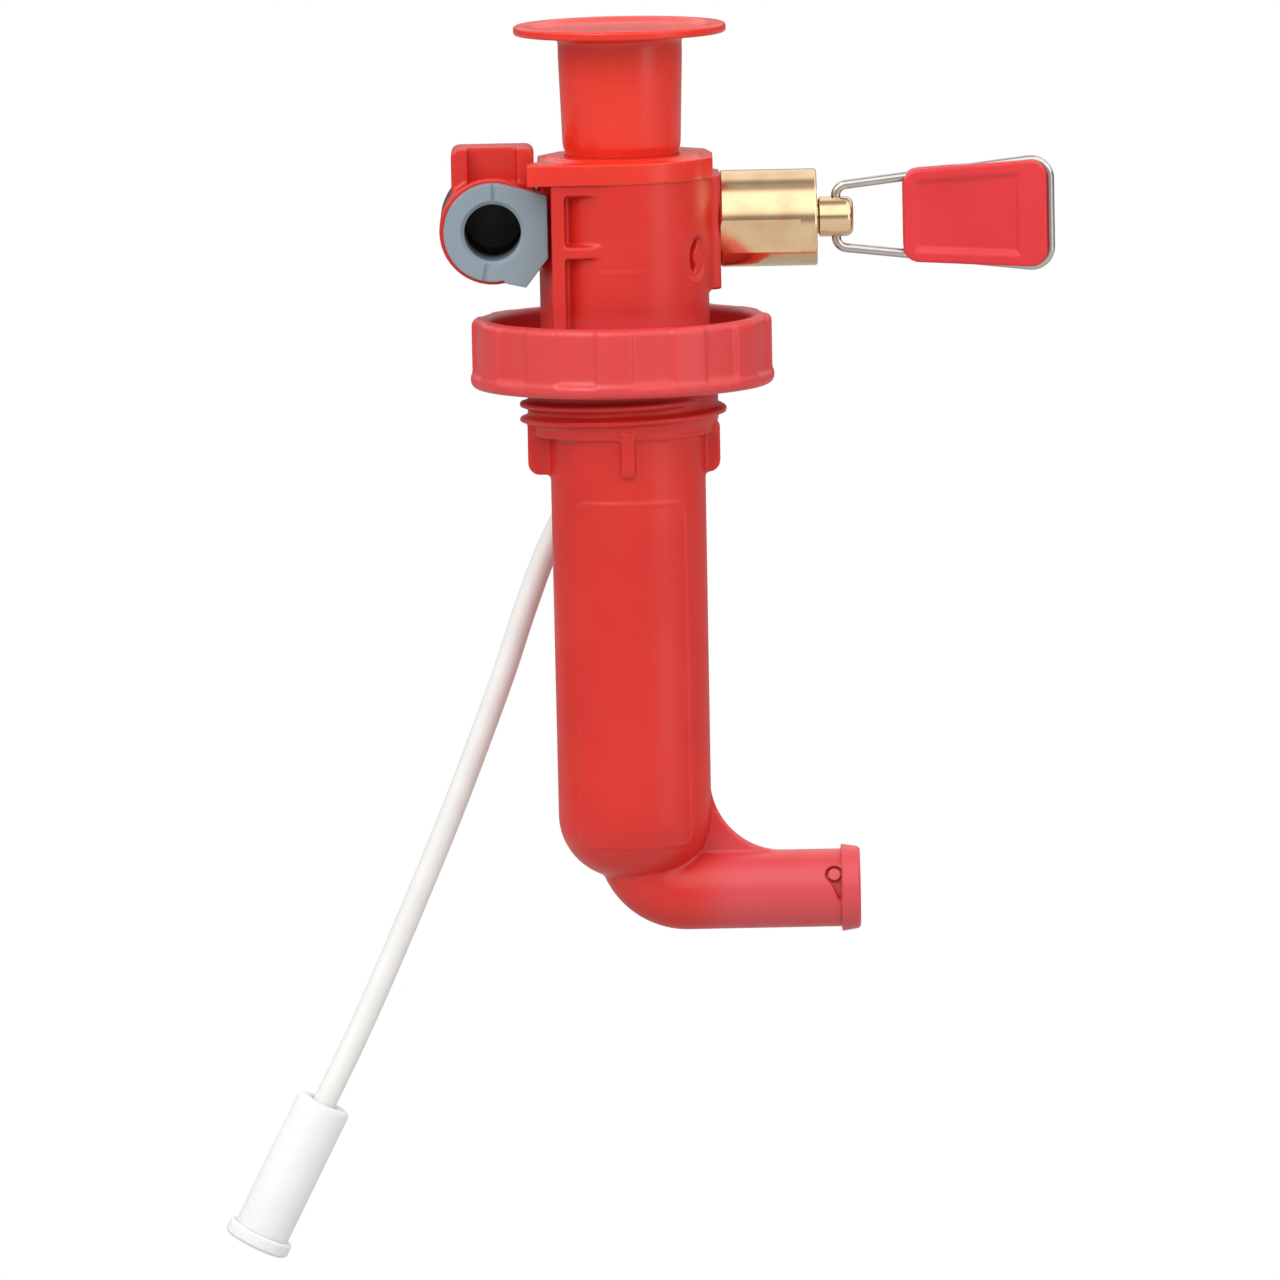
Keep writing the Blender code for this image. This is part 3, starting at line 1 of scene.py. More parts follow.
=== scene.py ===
"""The bottle pump as it looks: moulded red body, brass fuel valve, wire bail and milky suction hose.

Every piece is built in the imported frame: +Z up through the plunger, +X to the fuel valve, -Y to the
viewer. The origin is on the bottle thread's axis, level with the underside of the grip ring.
"""
import math

import bmesh
import bpy
from mathutils import Matrix, Vector


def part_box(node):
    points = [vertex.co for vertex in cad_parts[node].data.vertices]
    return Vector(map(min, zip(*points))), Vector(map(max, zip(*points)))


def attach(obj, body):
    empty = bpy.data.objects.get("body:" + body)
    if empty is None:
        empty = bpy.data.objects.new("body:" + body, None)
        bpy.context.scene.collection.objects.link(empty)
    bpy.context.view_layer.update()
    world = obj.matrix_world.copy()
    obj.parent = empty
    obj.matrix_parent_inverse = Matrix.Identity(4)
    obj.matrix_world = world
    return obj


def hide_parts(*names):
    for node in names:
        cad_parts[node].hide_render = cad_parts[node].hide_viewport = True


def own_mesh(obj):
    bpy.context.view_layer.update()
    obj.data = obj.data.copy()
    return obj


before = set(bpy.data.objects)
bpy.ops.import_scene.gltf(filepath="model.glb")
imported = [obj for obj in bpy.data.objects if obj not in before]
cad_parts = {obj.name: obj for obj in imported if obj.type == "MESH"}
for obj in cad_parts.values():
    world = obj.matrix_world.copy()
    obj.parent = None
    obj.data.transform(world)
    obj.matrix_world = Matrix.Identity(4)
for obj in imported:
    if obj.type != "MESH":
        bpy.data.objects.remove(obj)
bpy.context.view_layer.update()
MM = 0.001

# Places read from the frame
HEAD_LOW, HEAD_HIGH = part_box("plunger")
NUT_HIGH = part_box("valve_nut")[1]
STEM_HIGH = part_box("valve_spindle")[1]
WIRE_LOW, WIRE_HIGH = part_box("bail_wire")
GRIP_LOW, GRIP_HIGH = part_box("handle_grip")
TAB_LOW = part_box("fuel_tube_bushing")[0]
CAP_LOW, CAP_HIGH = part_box("check_valve_cap")
BODY_LOW, BODY_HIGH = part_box("pump_body")
PLATE_LOW, PLATE_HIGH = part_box("plunger_bushing")
BARB_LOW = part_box("suction_barb")[0]
PUMP_X = (HEAD_LOW.x + HEAD_HIGH.x) / 2
PUMP_Y = (HEAD_LOW.y + HEAD_HIGH.y) / 2
VALVE_Y = (WIRE_LOW.y + WIRE_HIGH.y) / 2
VALVE_Z = (WIRE_LOW.z + WIRE_HIGH.z) / 2

# Pump barrel and outlet elbow
BARREL_R_TOP = 10.65 * MM
BARREL_R_LOW = 10.5 * MM
ELBOW_R = 5.37 * MM
ELBOW_Z = BODY_LOW.z + ELBOW_R
BARREL_BOTTOM_Z = ELBOW_Z + 2.0 * MM
BARREL_CORNER_Z = BARREL_BOTTOM_Z + 8.8 * MM
BARREL_CORNER_R = 9.0 * MM
CYLINDER_R = BARREL_R_LOW - 1.3 * MM
CYLINDER_FLOOR_Z = BARREL_BOTTOM_Z + 8.0 * MM
ELBOW_BEND_R = 7.1 * MM
ELBOW_END_X = BODY_HIGH.x
CHAMBER_R = ELBOW_R - 1.17 * MM
CHAMBER_DEEP = 9.0 * MM
OUTLET_R = 2.2 * MM
WEB_R = 10.1 * MM
WEB_T = 2.2 * MM
CAP_R = ELBOW_R + 0.63 * MM
CAP_HOLE_R = 1.6 * MM
SPRING_WIRE_R = 0.25 * MM
SPRING_TURNS = 4
PIN_X = 27.7 * MM
PIN_DEG = 28.0
PIN_R = 0.82 * MM
SLOT_W = 2.5 * MM
SLOT_MOUTH_DEG = -12.0

# Grip ring, thread, collar and wings
RING_BEAD_R = BODY_HIGH.y
RING_R = RING_BEAD_R - 0.25 * MM
RING_WALL = 2.7 * MM
RING_H = 9.5 * MM
RING_FLOOR_Z = 5.0 * MM
SCALLOPS = 12
SCALLOP_FIRST_DEG = 12.0
SCALLOP_HALF_DEG = 8.4
SCALLOP_EDGE_DEG = 1.0
SCALLOP_DEPTH = 0.5 * MM
SCALLOP_FOOT_Z = 2.3 * MM
THREAD_ROOT_R = 13.05 * MM
THREAD_MAJOR_R = THREAD_ROOT_R + 1.15 * MM
THREAD_PITCH = 2.05 * MM
THREAD_LOW_Z = -4.85 * MM
THREAD_TURNS = 1.6
THREAD_LOW_DEG = 110.0
NECK_LOW_Z = -4.9 * MM
COLLAR_R = THREAD_ROOT_R - 0.35 * MM
COLLAR_LOW_Z = -6.5 * MM
WING_R = THREAD_ROOT_R + 0.15 * MM
WING_T = 2.0 * MM
WING_LOW_Z = -12.0 * MM

# Upper housing
HOUSING_R = 11.6 * MM
HOUSING_TOP_Z = 29.1 * MM
RIB_LEFT_X = -9.3 * MM
RIB_RIGHT_X = -7.5 * MM
RIB_FRONT_Y = -12.9 * MM
GUSSET_RIGHT_X = -1.5 * MM
GUSSET_T = 1.6 * MM
GUSSET_ZS = (19.4 * MM, 27.9 * MM)
BLOCK_LOW_Z = 13.0 * MM
BLOCK_RIGHT_X = 13.8 * MM
BLOCK_BACK_Y = 13.0 * MM
POCKET_DEG = 60.0
POCKET_Z = 17.9 * MM
POCKET_R = 2.95 * MM
POCKET_DEEP = 0.6 * MM
SEAM_Z = 16.5 * MM
SEAM_XS = (-3.0 * MM, 4.0 * MM)
PANEL_XS = (-6.8 * MM, 8.4 * MM)
PANEL_ZS = (-62.7 * MM, -15.3 * MM)
PANEL_CORNER_R = 1.6 * MM
PANEL_RISE = 0.05 * MM
RIM_RISE = 0.13 * MM
RIM_HALF = 0.25 * MM
LINE_HALF = 0.2 * MM
SEAM_RISE = 0.07 * MM
FOOT_LINE_Z = PANEL_ZS[0] - 1.1 * MM
FOOT_LINE_RISE = 0.06 * MM

# Fuel-line port and the catch behind it
PORT_X = -17.35 * MM
PORT_Z = 22.1 * MM
PORT_R = 7.3 * MM
PORT_FRONT_Y = -7.4 * MM
PORT_BACK_Y = 12.6 * MM
PORT_SOCKET_R = PORT_R - 1.5 * MM
PORT_SOCKET_END_Y = 0.9 * MM
PORT_BORE_R = PORT_R - 3.4 * MM
CATCH_LEFT_X = PORT_X - 5.55 * MM
CATCH_RIGHT_X = PORT_X + 5.75 * MM
CATCH_TOP_Z = BODY_HIGH.z
CATCH_FRONT_Y = -5.5 * MM
CATCH_BACK_Y = 3.5 * MM
CATCH_SLOT_W = 6.6 * MM
CATCH_SLOT_D = 2.5 * MM
CATCH_CORNER_R = 1.1 * MM
BLOCK_LEFT_X = CATCH_RIGHT_X + 0.8 * MM
FLANGE_R = PORT_R - 0.6 * MM
SLEEVE_R = PORT_SOCKET_R - 0.35 * MM
SLEEVE_END_Y = -1.2 * MM
TAB_RIGHT_X = PORT_X + 7.55 * MM
TAB_LOBE_X = PORT_X + 4.45 * MM
TAB_FRONT_Y = TAB_LOW.y
PARTING_DEGS = (88.0, -101.0)       # where the grey bushing's two halves meet

# Plunger
ROD_R = CYLINDER_R - 1.4 * MM
ROD_TOP_R = ROD_R + 0.7 * MM
ROD_SHOULDER_Z = 33.0 * MM
HEAD_R = (HEAD_HIGH.x - HEAD_LOW.x) / 2
HEAD_RIM_T = 1.3 * MM
HEAD_DISH = 0.55 * MM
HEAD_DISH_R = HEAD_R - 2.35 * MM
SLEEVE_L = 4.0 * MM
SLEEVE_WALL = 2.2 * MM
HUB_R = ROD_R + 2.6 * MM
HUB_H = 0.4 * MM
PLATE_TOP_Z = PLATE_HIGH.z - HUB_H
PLATE_FRONT_Y = PLATE_LOW.y
ROD_BORE_R = ROD_R - 1.6 * MM
ROD_LOW_Z = CYLINDER_FLOOR_Z + 11.0 * MM

# Fuel valve and bail
NUT_R = 6.65 * MM
NUT_FLAT = NUT_R - 0.46 * MM
NUT_FLAT_END_X = 24.8 * MM
NUT_FLAT_DEG = 19.0
NUT_SPIGOT_R = 3.6 * MM
NUT_SPIGOT_L = 2.9 * MM
NUT_PORT_R = NUT_SPIGOT_R + 0.3 * MM
NUT_PORT_L = NUT_SPIGOT_L + 1.0 * MM
NUT_RECESS_L = 6.5 * MM
WASHER_T = 0.7 * MM
WASHER_HOLE_R = 1.3 * MM
SPINDLE_R = 1.6 * MM
STEM_R = 2.75 * MM
STEM_NECK_R = STEM_R - 0.45 * MM
SEAL_R = 3.0 * MM
SEAL_T = 1.4 * MM
WIRE_R = 0.64 * MM
BAIL_X = 29.75 * MM
BAIL_END_X = WIRE_HIGH.x - WIRE_R
BAIL_HALF_NEAR = 4.2 * MM
BAIL_HALF_FAR = (WIRE_HIGH.z - WIRE_LOW.z) / 2 - WIRE_R
BAIL_BEND_R = 1.5 * MM
BAIL_CORNER_R = 2.6 * MM
WIRE_END = 1.2 * MM
GRIP_HALF_LEFT = 6.3 * MM
GRIP_HALF_RIGHT = 7.5 * MM
GRIP_CORNER_R = 2.2 * MM
GRIP_PANEL = ((40.7 * MM, 4.6 * MM), (54.6 * MM, 5.4 * MM))     # each end's place and half height
GRIP_DIP = 0.5 * MM

# Suction hose and filter
SUCTION = Vector((-5.6, 9.6, 0)) * MM
SUCTION_COLUMN_R = 2.6 * MM
HOSE_R = 1.6 * MM
HOSE_START_Z = BARB_LOW.z - 0.3 * MM
HOSE_ROUTE = (
    (-5.65, 9.6, -11.6), (-6.4, 9.6, -14.6), (-8.4, 9.3, -18.6), (-11.2, 8.9, -24.2), (-14.4, 8.0, -32.4),
    (-17.9, 7.0, -42.2), (-25.2, 5.4, -60.4), (-33.6, 4.0, -79.4), (-38.6, 2.9, -90.0),
)
FILTER_TOP = Vector((-43.2, 2.0, -99.0)) * MM
FILTER_TILT = math.radians(27.0)
FILTER_R = 3.87 * MM
FILTER_IN_R = FILTER_R - 0.9 * MM
FILTER_HOLE_R = 0.8 * MM
FILTER_L = 20.0 * MM
FILTER_END_R = FILTER_R + 0.78 * MM
FILTER_END_T = 2.0 * MM

# Brightness of the light tent, by the sine of the angle above level
TENT = ((-0.98, 0.46), (-0.3, 0.52), (-0.12, 0.36), (-0.05, 0.2), (0.15, 0.2), (0.26, 0.75),
        (0.4, 1.0), (0.92, 1.0), (0.985, 0.3))
TENT_BACK = 0.68                    # the back wall's brightness beside the front one's
TENT_LIGHT = 1.55

ROUND = 128                         # sides of a turned piece
VOXEL = 0.27 * MM                   # grain of the skin over the moulded body

PUMP_AXIS = Matrix.Translation((PUMP_X, PUMP_Y, 0))
VALVE_AXIS = Matrix.Translation((0, VALVE_Y, VALVE_Z)) @ Matrix.Rotation(math.pi / 2, 4, "Y")
OUTLET_AXIS = Matrix.Translation((0, PUMP_Y, ELBOW_Z)) @ Matrix.Rotation(math.pi / 2, 4, "Y")
PORT_AXIS = Matrix.Translation((PORT_X, 0, PORT_Z)) @ Matrix.Rotation(math.pi / 2, 4, "X")
FILTER_AXIS = Matrix.Translation(FILTER_TOP) @ Matrix.Rotation(FILTER_TILT, 4, "Y")


# ---------------------------------------------------------------- camera

def aim_camera():
    """A long lens two metres off, a little above the object and leaning by the object's own lean."""
    distance = 2.0
    tilt = math.radians(6.8)
    lean = math.radians(1.15)
    view = math.radians(5.04)
    target = Vector((1.654, 0, -35.329)) * MM
    ahead = Vector((0, math.cos(tilt), -math.sin(tilt)))
    up = Vector((0, math.sin(tilt), math.cos(tilt)))
    right = Vector((1, 0, 0))
    turned_right = right * math.cos(lean) - up * math.sin(lean)
    turned_up = up * math.cos(lean) + right * math.sin(lean)
    lens = bpy.data.cameras.new("camera")
    lens.sensor_width = 36
    lens.lens = lens.sensor_width / 2 / math.tan(view / 2)
    lens.clip_start = 0.1
    lens.clip_end = 50
    camera = bpy.data.objects.new("camera", lens)
    place = Matrix((turned_right, turned_up, -ahead)).transposed().to_4x4()
    camera.matrix_world = Matrix.Translation(target - ahead * distance) @ place
    bpy.context.scene.collection.objects.link(camera)
    bpy.context.scene.camera = camera


# ---------------------------------------------------------------- shapes

def closed_piece(name, bm):
    """Turns a bmesh into an object with its faces pointing out."""
    bmesh.ops.recalc_face_normals(bm, faces=bm.faces)
    mesh = bpy.data.meshes.new(name)
    bm.to_mesh(mesh)
    bm.free()
    piece = bpy.data.objects.new(name, mesh)
    bpy.context.scene.collection.objects.link(piece)
    return piece


def skin(bm, rows, around, along):
    """Faces between closed rows of points, and with along set also from the last row to the first."""
    pairs = list(zip(rows, rows[1:]))
    if along:
        pairs.append((rows[-1], rows[0]))
    for low, high in pairs:
        for i in range(around):
            j = (i + 1) % around
            if len(low) == 1:
                bm.faces.new((low[0], high[i], high[j]))
            elif len(high) == 1:
                bm.faces.new((low[i], low[j], high[0]))
            else:
                bm.faces.new((low[i], low[j], high[j], high[i]))


def turned(name, profile, place=Matrix(), steps=ROUND, dent=None):
    """Turns (radius, height) points about an axis. dent(angle, radius, height) pulls the surface in."""
    bm = bmesh.new()
    rows = []
    for radius, height in profile:
        if radius < 1e-9:
            rows.append([bm.verts.new(place @ Vector((0, 0, height)))])
            continue
        row = []
        for i in range(steps):
            turn = 2 * math.pi * i / steps
            reach = radius - (dent(turn, radius, height) if dent else 0)
            point = Vector((reach * math.cos(turn), reach * math.sin(turn), height))
            row.append(bm.verts.new(place @ point))
        rows.append(row)
    skin(bm, rows, steps, len(rows[0]) > 1)
    return closed_piece(name, bm)


def bar(name, radius, start, end, steps=64):
    """A plain round bar between two points."""
    start, end = Vector(start), Vector(end)
    place = Matrix.Translation(start) @ (end - start).to_track_quat("Z", "Y").to_matrix().to_4x4()
    length = (end - start).length
    return turned(name, [(0, 0), (radius, 0), (radius, length), (0, length)], place, steps)


def loft(name, sections, triangles=False):
    """A solid through rows of points, closed at both ends."""
    bm = bmesh.new()
    rows = [[bm.verts.new(point) for point in section] for section in sections]
    skin(bm, rows, len(rows[0]), False)
    bm.faces.new(rows[0])
    bm.faces.new(reversed(rows[-1]))
    if triangles:
        bmesh.ops.triangulate(bm, faces=bm.faces)
    return closed_piece(name, bm)


def prism(name, outline, low, high, plane="XY", place=Matrix()):
    """Extrudes a flat outline. On plane XY it runs along Z, and on plane XZ along Y."""
    ends = []
    for level in (low, high):
        points = [(a, b, level) if plane == "XY" else (a, level, b) for a, b in outline]
        ends.append([place @ Vector(p) for p in points])
    return loft(name, ends)


def block(name, x, y, z, place=Matrix()):
    """A box between pairs of limits."""
    return prism(name, [(x[0], y[0]), (x[1], y[0]), (x[1], y[1]), (x[0], y[1])], z[0], z[1], place=place)


def swept(name, points, radius, sides=32):
    """A round bar along a path."""
    points = [Vector(p) for p in points]
    rows = []
    side = None
    for i, point in enumerate(points):
        way = (points[min(i + 1, len(points) - 1)] - points[max(i - 1, 0)]).normalized()
        if side is None:
            side = way.orthogonal().normalized()
        side = (side - way * side.dot(way)).normalized()
        other = way.cross(side)
        turns = [2 * math.pi * k / sides for k in range(sides)]
        rows.append([point + radius * (side * math.cos(t) + other * math.sin(t)) for t in turns])
    return loft(name, rows)


def rounded(points, radii, steps=8):
    """A path through 2-D points whose inner corners are arcs. A radius of 0 keeps its corner."""
    path = []
    for i, (point, radius) in enumerate(zip(points, radii)):
        here = Vector(point)
        if radius == 0:
            path.append(here)
            continue
        back = (Vector(points[i - 1]) - here).normalized()
        ahead = (Vector(points[(i + 1) % len(points)]) - here).normalized()
        half = back.angle(ahead) / 2
        centre = here + (back + ahead).normalized() * radius / math.sin(half)
        first = here + back * radius / math.tan(half) - centre
        last = here + ahead * radius / math.tan(half) - centre
        turn = first.angle_signed(last)
        for k in range(steps + 1):
            path.append(centre + Matrix.Rotation(-turn * k / steps, 2) @ first)
    return path


def arc(cx, cz, radius, start_deg, end_deg, steps):
    """Points on an arc, both ends included."""
    turns = [math.radians(start_deg + (end_deg - start_deg) * k / steps) for k in range(steps + 1)]
    return [(cx + radius * math.cos(t), cz + radius * math.sin(t)) for t in turns]


def flatten(piece):
    """Bakes a piece's modifiers into its mesh."""
    bpy.context.view_layer.update()
    graph = bpy.context.evaluated_depsgraph_get()
    baked = bpy.data.meshes.new_from_object(piece.evaluated_get(graph))
    piece.modifiers.clear()
    piece.data = baked


def combine(piece, tools, operation):
    """Joins the tools to a piece or cuts them from it, then removes them."""
    for tool in tools:
        step = piece.modifiers.new(tool.name, "BOOLEAN")
        step.operation = operation
        step.solver = "MANIFOLD"
        step.object = tool
    flatten(piece)
    for tool in tools:
        bpy.data.objects.remove(tool)


def soften(piece, voxel=VOXEL, rounds=3):
    """Gives a moulding one skin with the small radius that a mould leaves on every edge."""
    grain = piece.modifiers.new("skin", "REMESH")
    grain.mode = "VOXEL"
    grain.voxel_size = voxel
    ease = piece.modifiers.new("ease", "SMOOTH")
    ease.factor = 0.5
    ease.iterations = rounds
    flatten(piece)


def finish(piece, material, body, node, crease=None):
    """Shades a piece, gives it its material, and fixes it to its body in place of a CAD node.

    Edges that turn by more than the crease, in degrees, stay sharp.
    """
    piece.data.materials.clear()
    piece.data.materials.append(material)
    if piece.type == "MESH":
        piece.data.shade_smooth()
    if crease:
        piece.data.set_sharp_from_angle(angle=math.radians(crease))
    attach(piece, body)
    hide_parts(node)


# ---------------------------------------------------------------- materials

def linear(colour):
    """An sRGB hex colour as the linear RGBA that a shader takes."""
    shares = [int(colour[i:i + 2], 16) / 255 for i in (1, 3, 5)]
    return (*[s / 12.92 if s <= 0.04045 else ((s + 0.055) / 1.055) ** 2.4 for s in shares], 1.0)


def connect(tree, node, inputs):
    """Sets or links a node's inputs by name or number."""
    for name, value in dict(inputs).items():
        if isinstance(value, bpy.types.NodeSocket):
            tree.links.new(value, node.inputs[name])
        else:
            node.inputs[name].default_value = value


def add(tree, kind, settings=(), inputs=()):
    """Adds a node, and sets its properties and inputs."""
    node = tree.nodes.new(kind)
    for name, value in dict(settings).items():
        setattr(node, name, value)
    connect(tree, node, inputs)
    return node


def blank(name):
    """A new material, its node tree, its Principled shader and its place on the piece."""
    made = bpy.data.materials.new(name)
    made.use_nodes = True
    tree = made.node_tree
    place = add(tree, "ShaderNodeTexCoord").outputs["Object"]
    return made, tree, tree.nodes["Principled BSDF"], place


def per_size(size_mm):
    """A Noise or Voronoi scale whose features are about this many millimetres across."""
    return 1 / (size_mm * MM)


def moulded(name, light, deep, roughness, grain_mm=0.35, grain_depth_mm=0.006, glow=0.0,
            bleed=(1.0, 0.12, 0.06), painted_light_zones=()):
    """A moulded thermoplastic: slow colour drift from its flow, and the fine grain of the mould.

    bleed is how far its red, green and blue light spread inside. painted_light_zones lists the colours of
    zones with painted sheen or painted shade, each with where it shows.
    """
    made, tree, shader, place = blank(name)
    drift = add(tree, "ShaderNodeTexNoise", inputs={"Vector": place, "Scale": per_size(14), "Detail": 2.0})
    tone = add(tree, "ShaderNodeMapRange", inputs={
        "Value": drift.outputs["Fac"], "From Min": 0.35, "From Max": 0.65})
    colour = add(tree, "ShaderNodeMix", {"data_type": "RGBA"},
                 {0: tone.outputs[0], 6: linear(light), 7: linear(deep)}).outputs[2]
    # Painted sheen and painted shade: each zone mixes its own colour into the body where it sits
    for shade, spans in painted_light_zones:
        axes = add(tree, "ShaderNodeSeparateXYZ", inputs={0: place}).outputs
        amount = 1.0
        for axis, (start, full) in spans:
            span = add(tree, "ShaderNodeMapRange", {"interpolation_type": "SMOOTHSTEP"}, {
                "Value": axes[axis], "From Min": start * MM, "From Max": full * MM})
            amount = add(tree, "ShaderNodeMath", {"operation": "MULTIPLY"},
                         {0: span.outputs[0], 1: amount}).outputs[0]
        colour = add(tree, "ShaderNodeMix", {"data_type": "RGBA"},
                     {0: amount, 6: colour, 7: linear(shade)}).outputs[2]
    grain = add(tree, "ShaderNodeTexNoise", inputs={
        "Vector": place, "Scale": per_size(grain_mm), "Detail": 3.0})
    wear = add(tree, "ShaderNodeTexNoise", inputs={"Vector": place, "Scale": per_size(5), "Detail": 3.0})
    gloss = add(tree, "ShaderNodeMapRange", inputs={
        "Value": wear.outputs["Fac"], "From Min": 0.3, "From Max": 0.7,
        "To Min": roughness - 0.05, "To Max": roughness + 0.06})
    relief = add(tree, "ShaderNodeBump", inputs={
        "Height": grain.outputs["Fac"], "Distance": grain_depth_mm * MM, "Strength": 0.6})
    connect(tree, shader, {
        "Base Color": colour, "Roughness": gloss.outputs[0], "Normal": relief.outputs[0], "IOR": 1.5,
        "Subsurface Weight": glow, "Subsurface Radius": bleed, "Subsurface Scale": 1.6 * MM})
    return made


def turned_brass():
    """Free-cutting brass, turned and polished: fine rings round its axis pull the light into bands."""
    made, tree, shader, place = blank("turned_brass")
    # Tool marks are a few hundredths of a millimetre apart; drawn at 0.25 mm so that they show
    along = add(tree, "ShaderNodeMapping", inputs={"Vector": place, "Scale": (per_size(0.25), 25, 25)})
    rings = add(tree, "ShaderNodeTexNoise", inputs={
        "Vector": along.outputs[0], "Scale": 1.0, "Detail": 3.0}).outputs["Fac"]
    stain = add(tree, "ShaderNodeTexNoise", inputs={"Vector": place, "Scale": per_size(4), "Detail": 4.0})
    share = add(tree, "ShaderNodeMapRange", inputs={
        "Value": stain.outputs["Fac"], "From Min": 0.45, "From Max": 0.8})
    colour = add(tree, "ShaderNodeMix", {"data_type": "RGBA"},
                 {0: share.outputs[0], 6: linear("#F1D0A4"), 7: linear("#E6BA8C")})
    gloss = add(tree, "ShaderNodeMapRange", inputs={"Value": rings, "To Min": 0.1, "To Max": 0.2})
    relief = add(tree, "ShaderNodeBump", inputs={"Height": rings, "Distance": 0.001 * MM, "Strength": 0.5})
    connect(tree, shader, {"Base Color": colour.outputs[2], "Roughness": gloss.outputs[0],
                           "Normal": relief.outputs[0], "Metallic": 1.0})
    return made


def drawn_steel():
    """Stainless spring wire, drawn bright: faint scratches run along it."""
    made, tree, shader, place = blank("drawn_steel")
    streak = add(tree, "ShaderNodeMapping", inputs={
        "Vector": place, "Scale": (per_size(3), per_size(0.2), per_size(0.2))})
    lines = add(tree, "ShaderNodeTexNoise", inputs={
        "Vector": streak.outputs[0], "Scale": 1.0, "Detail": 3.0}).outputs["Fac"]
    gloss = add(tree, "ShaderNodeMapRange", inputs={"Value": lines, "To Min": 0.12, "To Max": 0.3})
    tone = add(tree, "ShaderNodeMix", {"data_type": "RGBA"},
               {0: lines, 6: linear("#D8D4D0"), 7: linear("#B4AFAB")})
    connect(tree, shader, {"Base Color": tone.outputs[2], "Roughness": gloss.outputs[0], "Metallic": 1.0})
    return made


def milky_tube():
    """Natural nylon tube, extruded: it lets light in and scatters it, so its edges go grey."""
    made, tree, shader, place = blank("milky_nylon_tube")
    cloud = add(tree, "ShaderNodeTexNoise", inputs={
        "Vector": place, "Scale": per_size(6), "Detail": 3.0}).outputs["Fac"]
    tone = add(tree, "ShaderNodeMix", {"data_type": "RGBA"},
               {0: cloud, 6: linear("#EAE9E6"), 7: linear("#DEDDDA")})
    gloss = add(tree, "ShaderNodeMapRange", inputs={"Value": cloud, "To Min": 0.28, "To Max": 0.42})
    connect(tree, shader, {
        "Base Color": tone.outputs[2], "Roughness": gloss.outputs[0], "Subsurface Weight": 0.3,
        "Subsurface Radius": (1.0, 0.95, 0.9), "Subsurface Scale": 1.2 * MM})
    return made


def woven_screen():
    """Woven nylon filter mesh: pale threads crossing at right angles."""
    made, tree, shader, place = blank("woven_nylon_mesh")
    # Threads are about 0.1 mm apart; drawn at 0.4 mm so that they show
    threads = [add(tree, "ShaderNodeTexWave", {"bands_direction": way}, {
        "Vector": place, "Scale": per_size(0.4) / 20}).outputs["Fac"] for way in ("X", "Z")]
    weave = add(tree, "ShaderNodeMath", {"operation": "MULTIPLY"},
                {0: threads[0], 1: threads[1]}).outputs[0]
    tone = add(tree, "ShaderNodeMix", {"data_type": "RGBA"},
               {0: weave, 6: linear("#B9B8B0"), 7: linear("#F0EFEA")})
    relief = add(tree, "ShaderNodeBump", inputs={"Height": weave, "Distance": 0.03 * MM})
    connect(tree, shader, {"Base Color": tone.outputs[2], "Normal": relief.outputs[0], "Roughness": 0.5})
    return made


# Zones of painted sheen and painted shade on the body: an axis, and where they start and are full on it,
# in millimetres
# Painted sheen: the ring and the elbow get a paler, pinker red that stands in for the haze of reflected
# light on them
RING_PAINTED_SHEEN = ((2, (-4.5, 0.5)), (2, (11.5, 9.0)))
ELBOW_PAINTED_SHEEN = ((2, (-57, -67)), (0, (7, 15)))
# Painted shade: the port's deep bore behind its socket goes near black where it lies in shadow
PORT_BORE_PAINTED_SHADE = (
    (1, (-1.4, -0.6)), (0, (-11.6, -12.2)), (2, (14.0, 16.5)), (2, (28.5, 27.5)), (1, (11.4, 11.2)),
)
# The body carries painted sheen on the ring and the elbow, and painted shade in the port's bore
RED_BODY = moulded("red_moulded_nylon", "#D42A1E", "#CC2218", 0.36, glow=0.12, painted_light_zones=(
    ("#D63E3E", RING_PAINTED_SHEEN), ("#D2464C", ELBOW_PAINTED_SHEEN), ("#1C1210", PORT_BORE_PAINTED_SHADE)))
BRIGHT_RED = moulded("orange_red_moulded_acetal", "#E6341F", "#DC2E1C", 0.27,
                     grain_depth_mm=0.0008, glow=0.25)
GRIP_RED = moulded("red_moulded_grip", "#DC3034", "#D42A30", 0.42, glow=0.15)
GREY = moulded("grey_moulded_nylon", "#8797A0", "#7F8F98", 0.4)
WHITE = moulded("white_moulded_nylon", "#EAE9E8", "#E3E2E1", 0.45, glow=0.35, bleed=(1.0, 1.0, 1.0))
LEATHER = moulded("oiled_cup_leather", "#6B4226", "#4E2E1A", 0.55, grain_mm=0.5, grain_depth_mm=0.03)
BRASS = turned_brass()
STEEL = drawn_steel()
TUBE = milky_tube()
RUBBER = moulded("nitrile_rubber", "#1A1819", "#100F10", 0.6, grain_mm=0.2)
SCREEN = woven_screen()


# ---------------------------------------------------------------- suction hose

def hose_points():
    """The hose's centreline, from the barb to inside the filter's top."""
    inward = Vector((-math.sin(FILTER_TILT), 0, -math.cos(FILTER_TILT)))
    route = [Vector((SUCTION.x, SUCTION.y, HOSE_START_Z))]
    route += [Vector(p) * MM for p in HOSE_ROUTE]
    route += [FILTER_TOP - inward * 2 * MM, FILTER_TOP + inward * 1.2 * MM]
    ends = [route[0] + Vector((0, 0, 3 * MM))] + route + [route[-1] + inward * 3 * MM]
    points = []
    for a, b, c, d in zip(ends, ends[1:], ends[2:], ends[3:]):
        pieces = max(2, round((c - b).length / (1.5 * MM)))
        for k in range(pieces):
            t = k / pieces
            points.append(0.5 * (2 * b + (c - a) * t + (2 * a - 5 * b + 4 * c - d) * t * t
                                 + (3 * b - a - 3 * c + d) * t * t * t))
    points.append(route[-1])
    return points


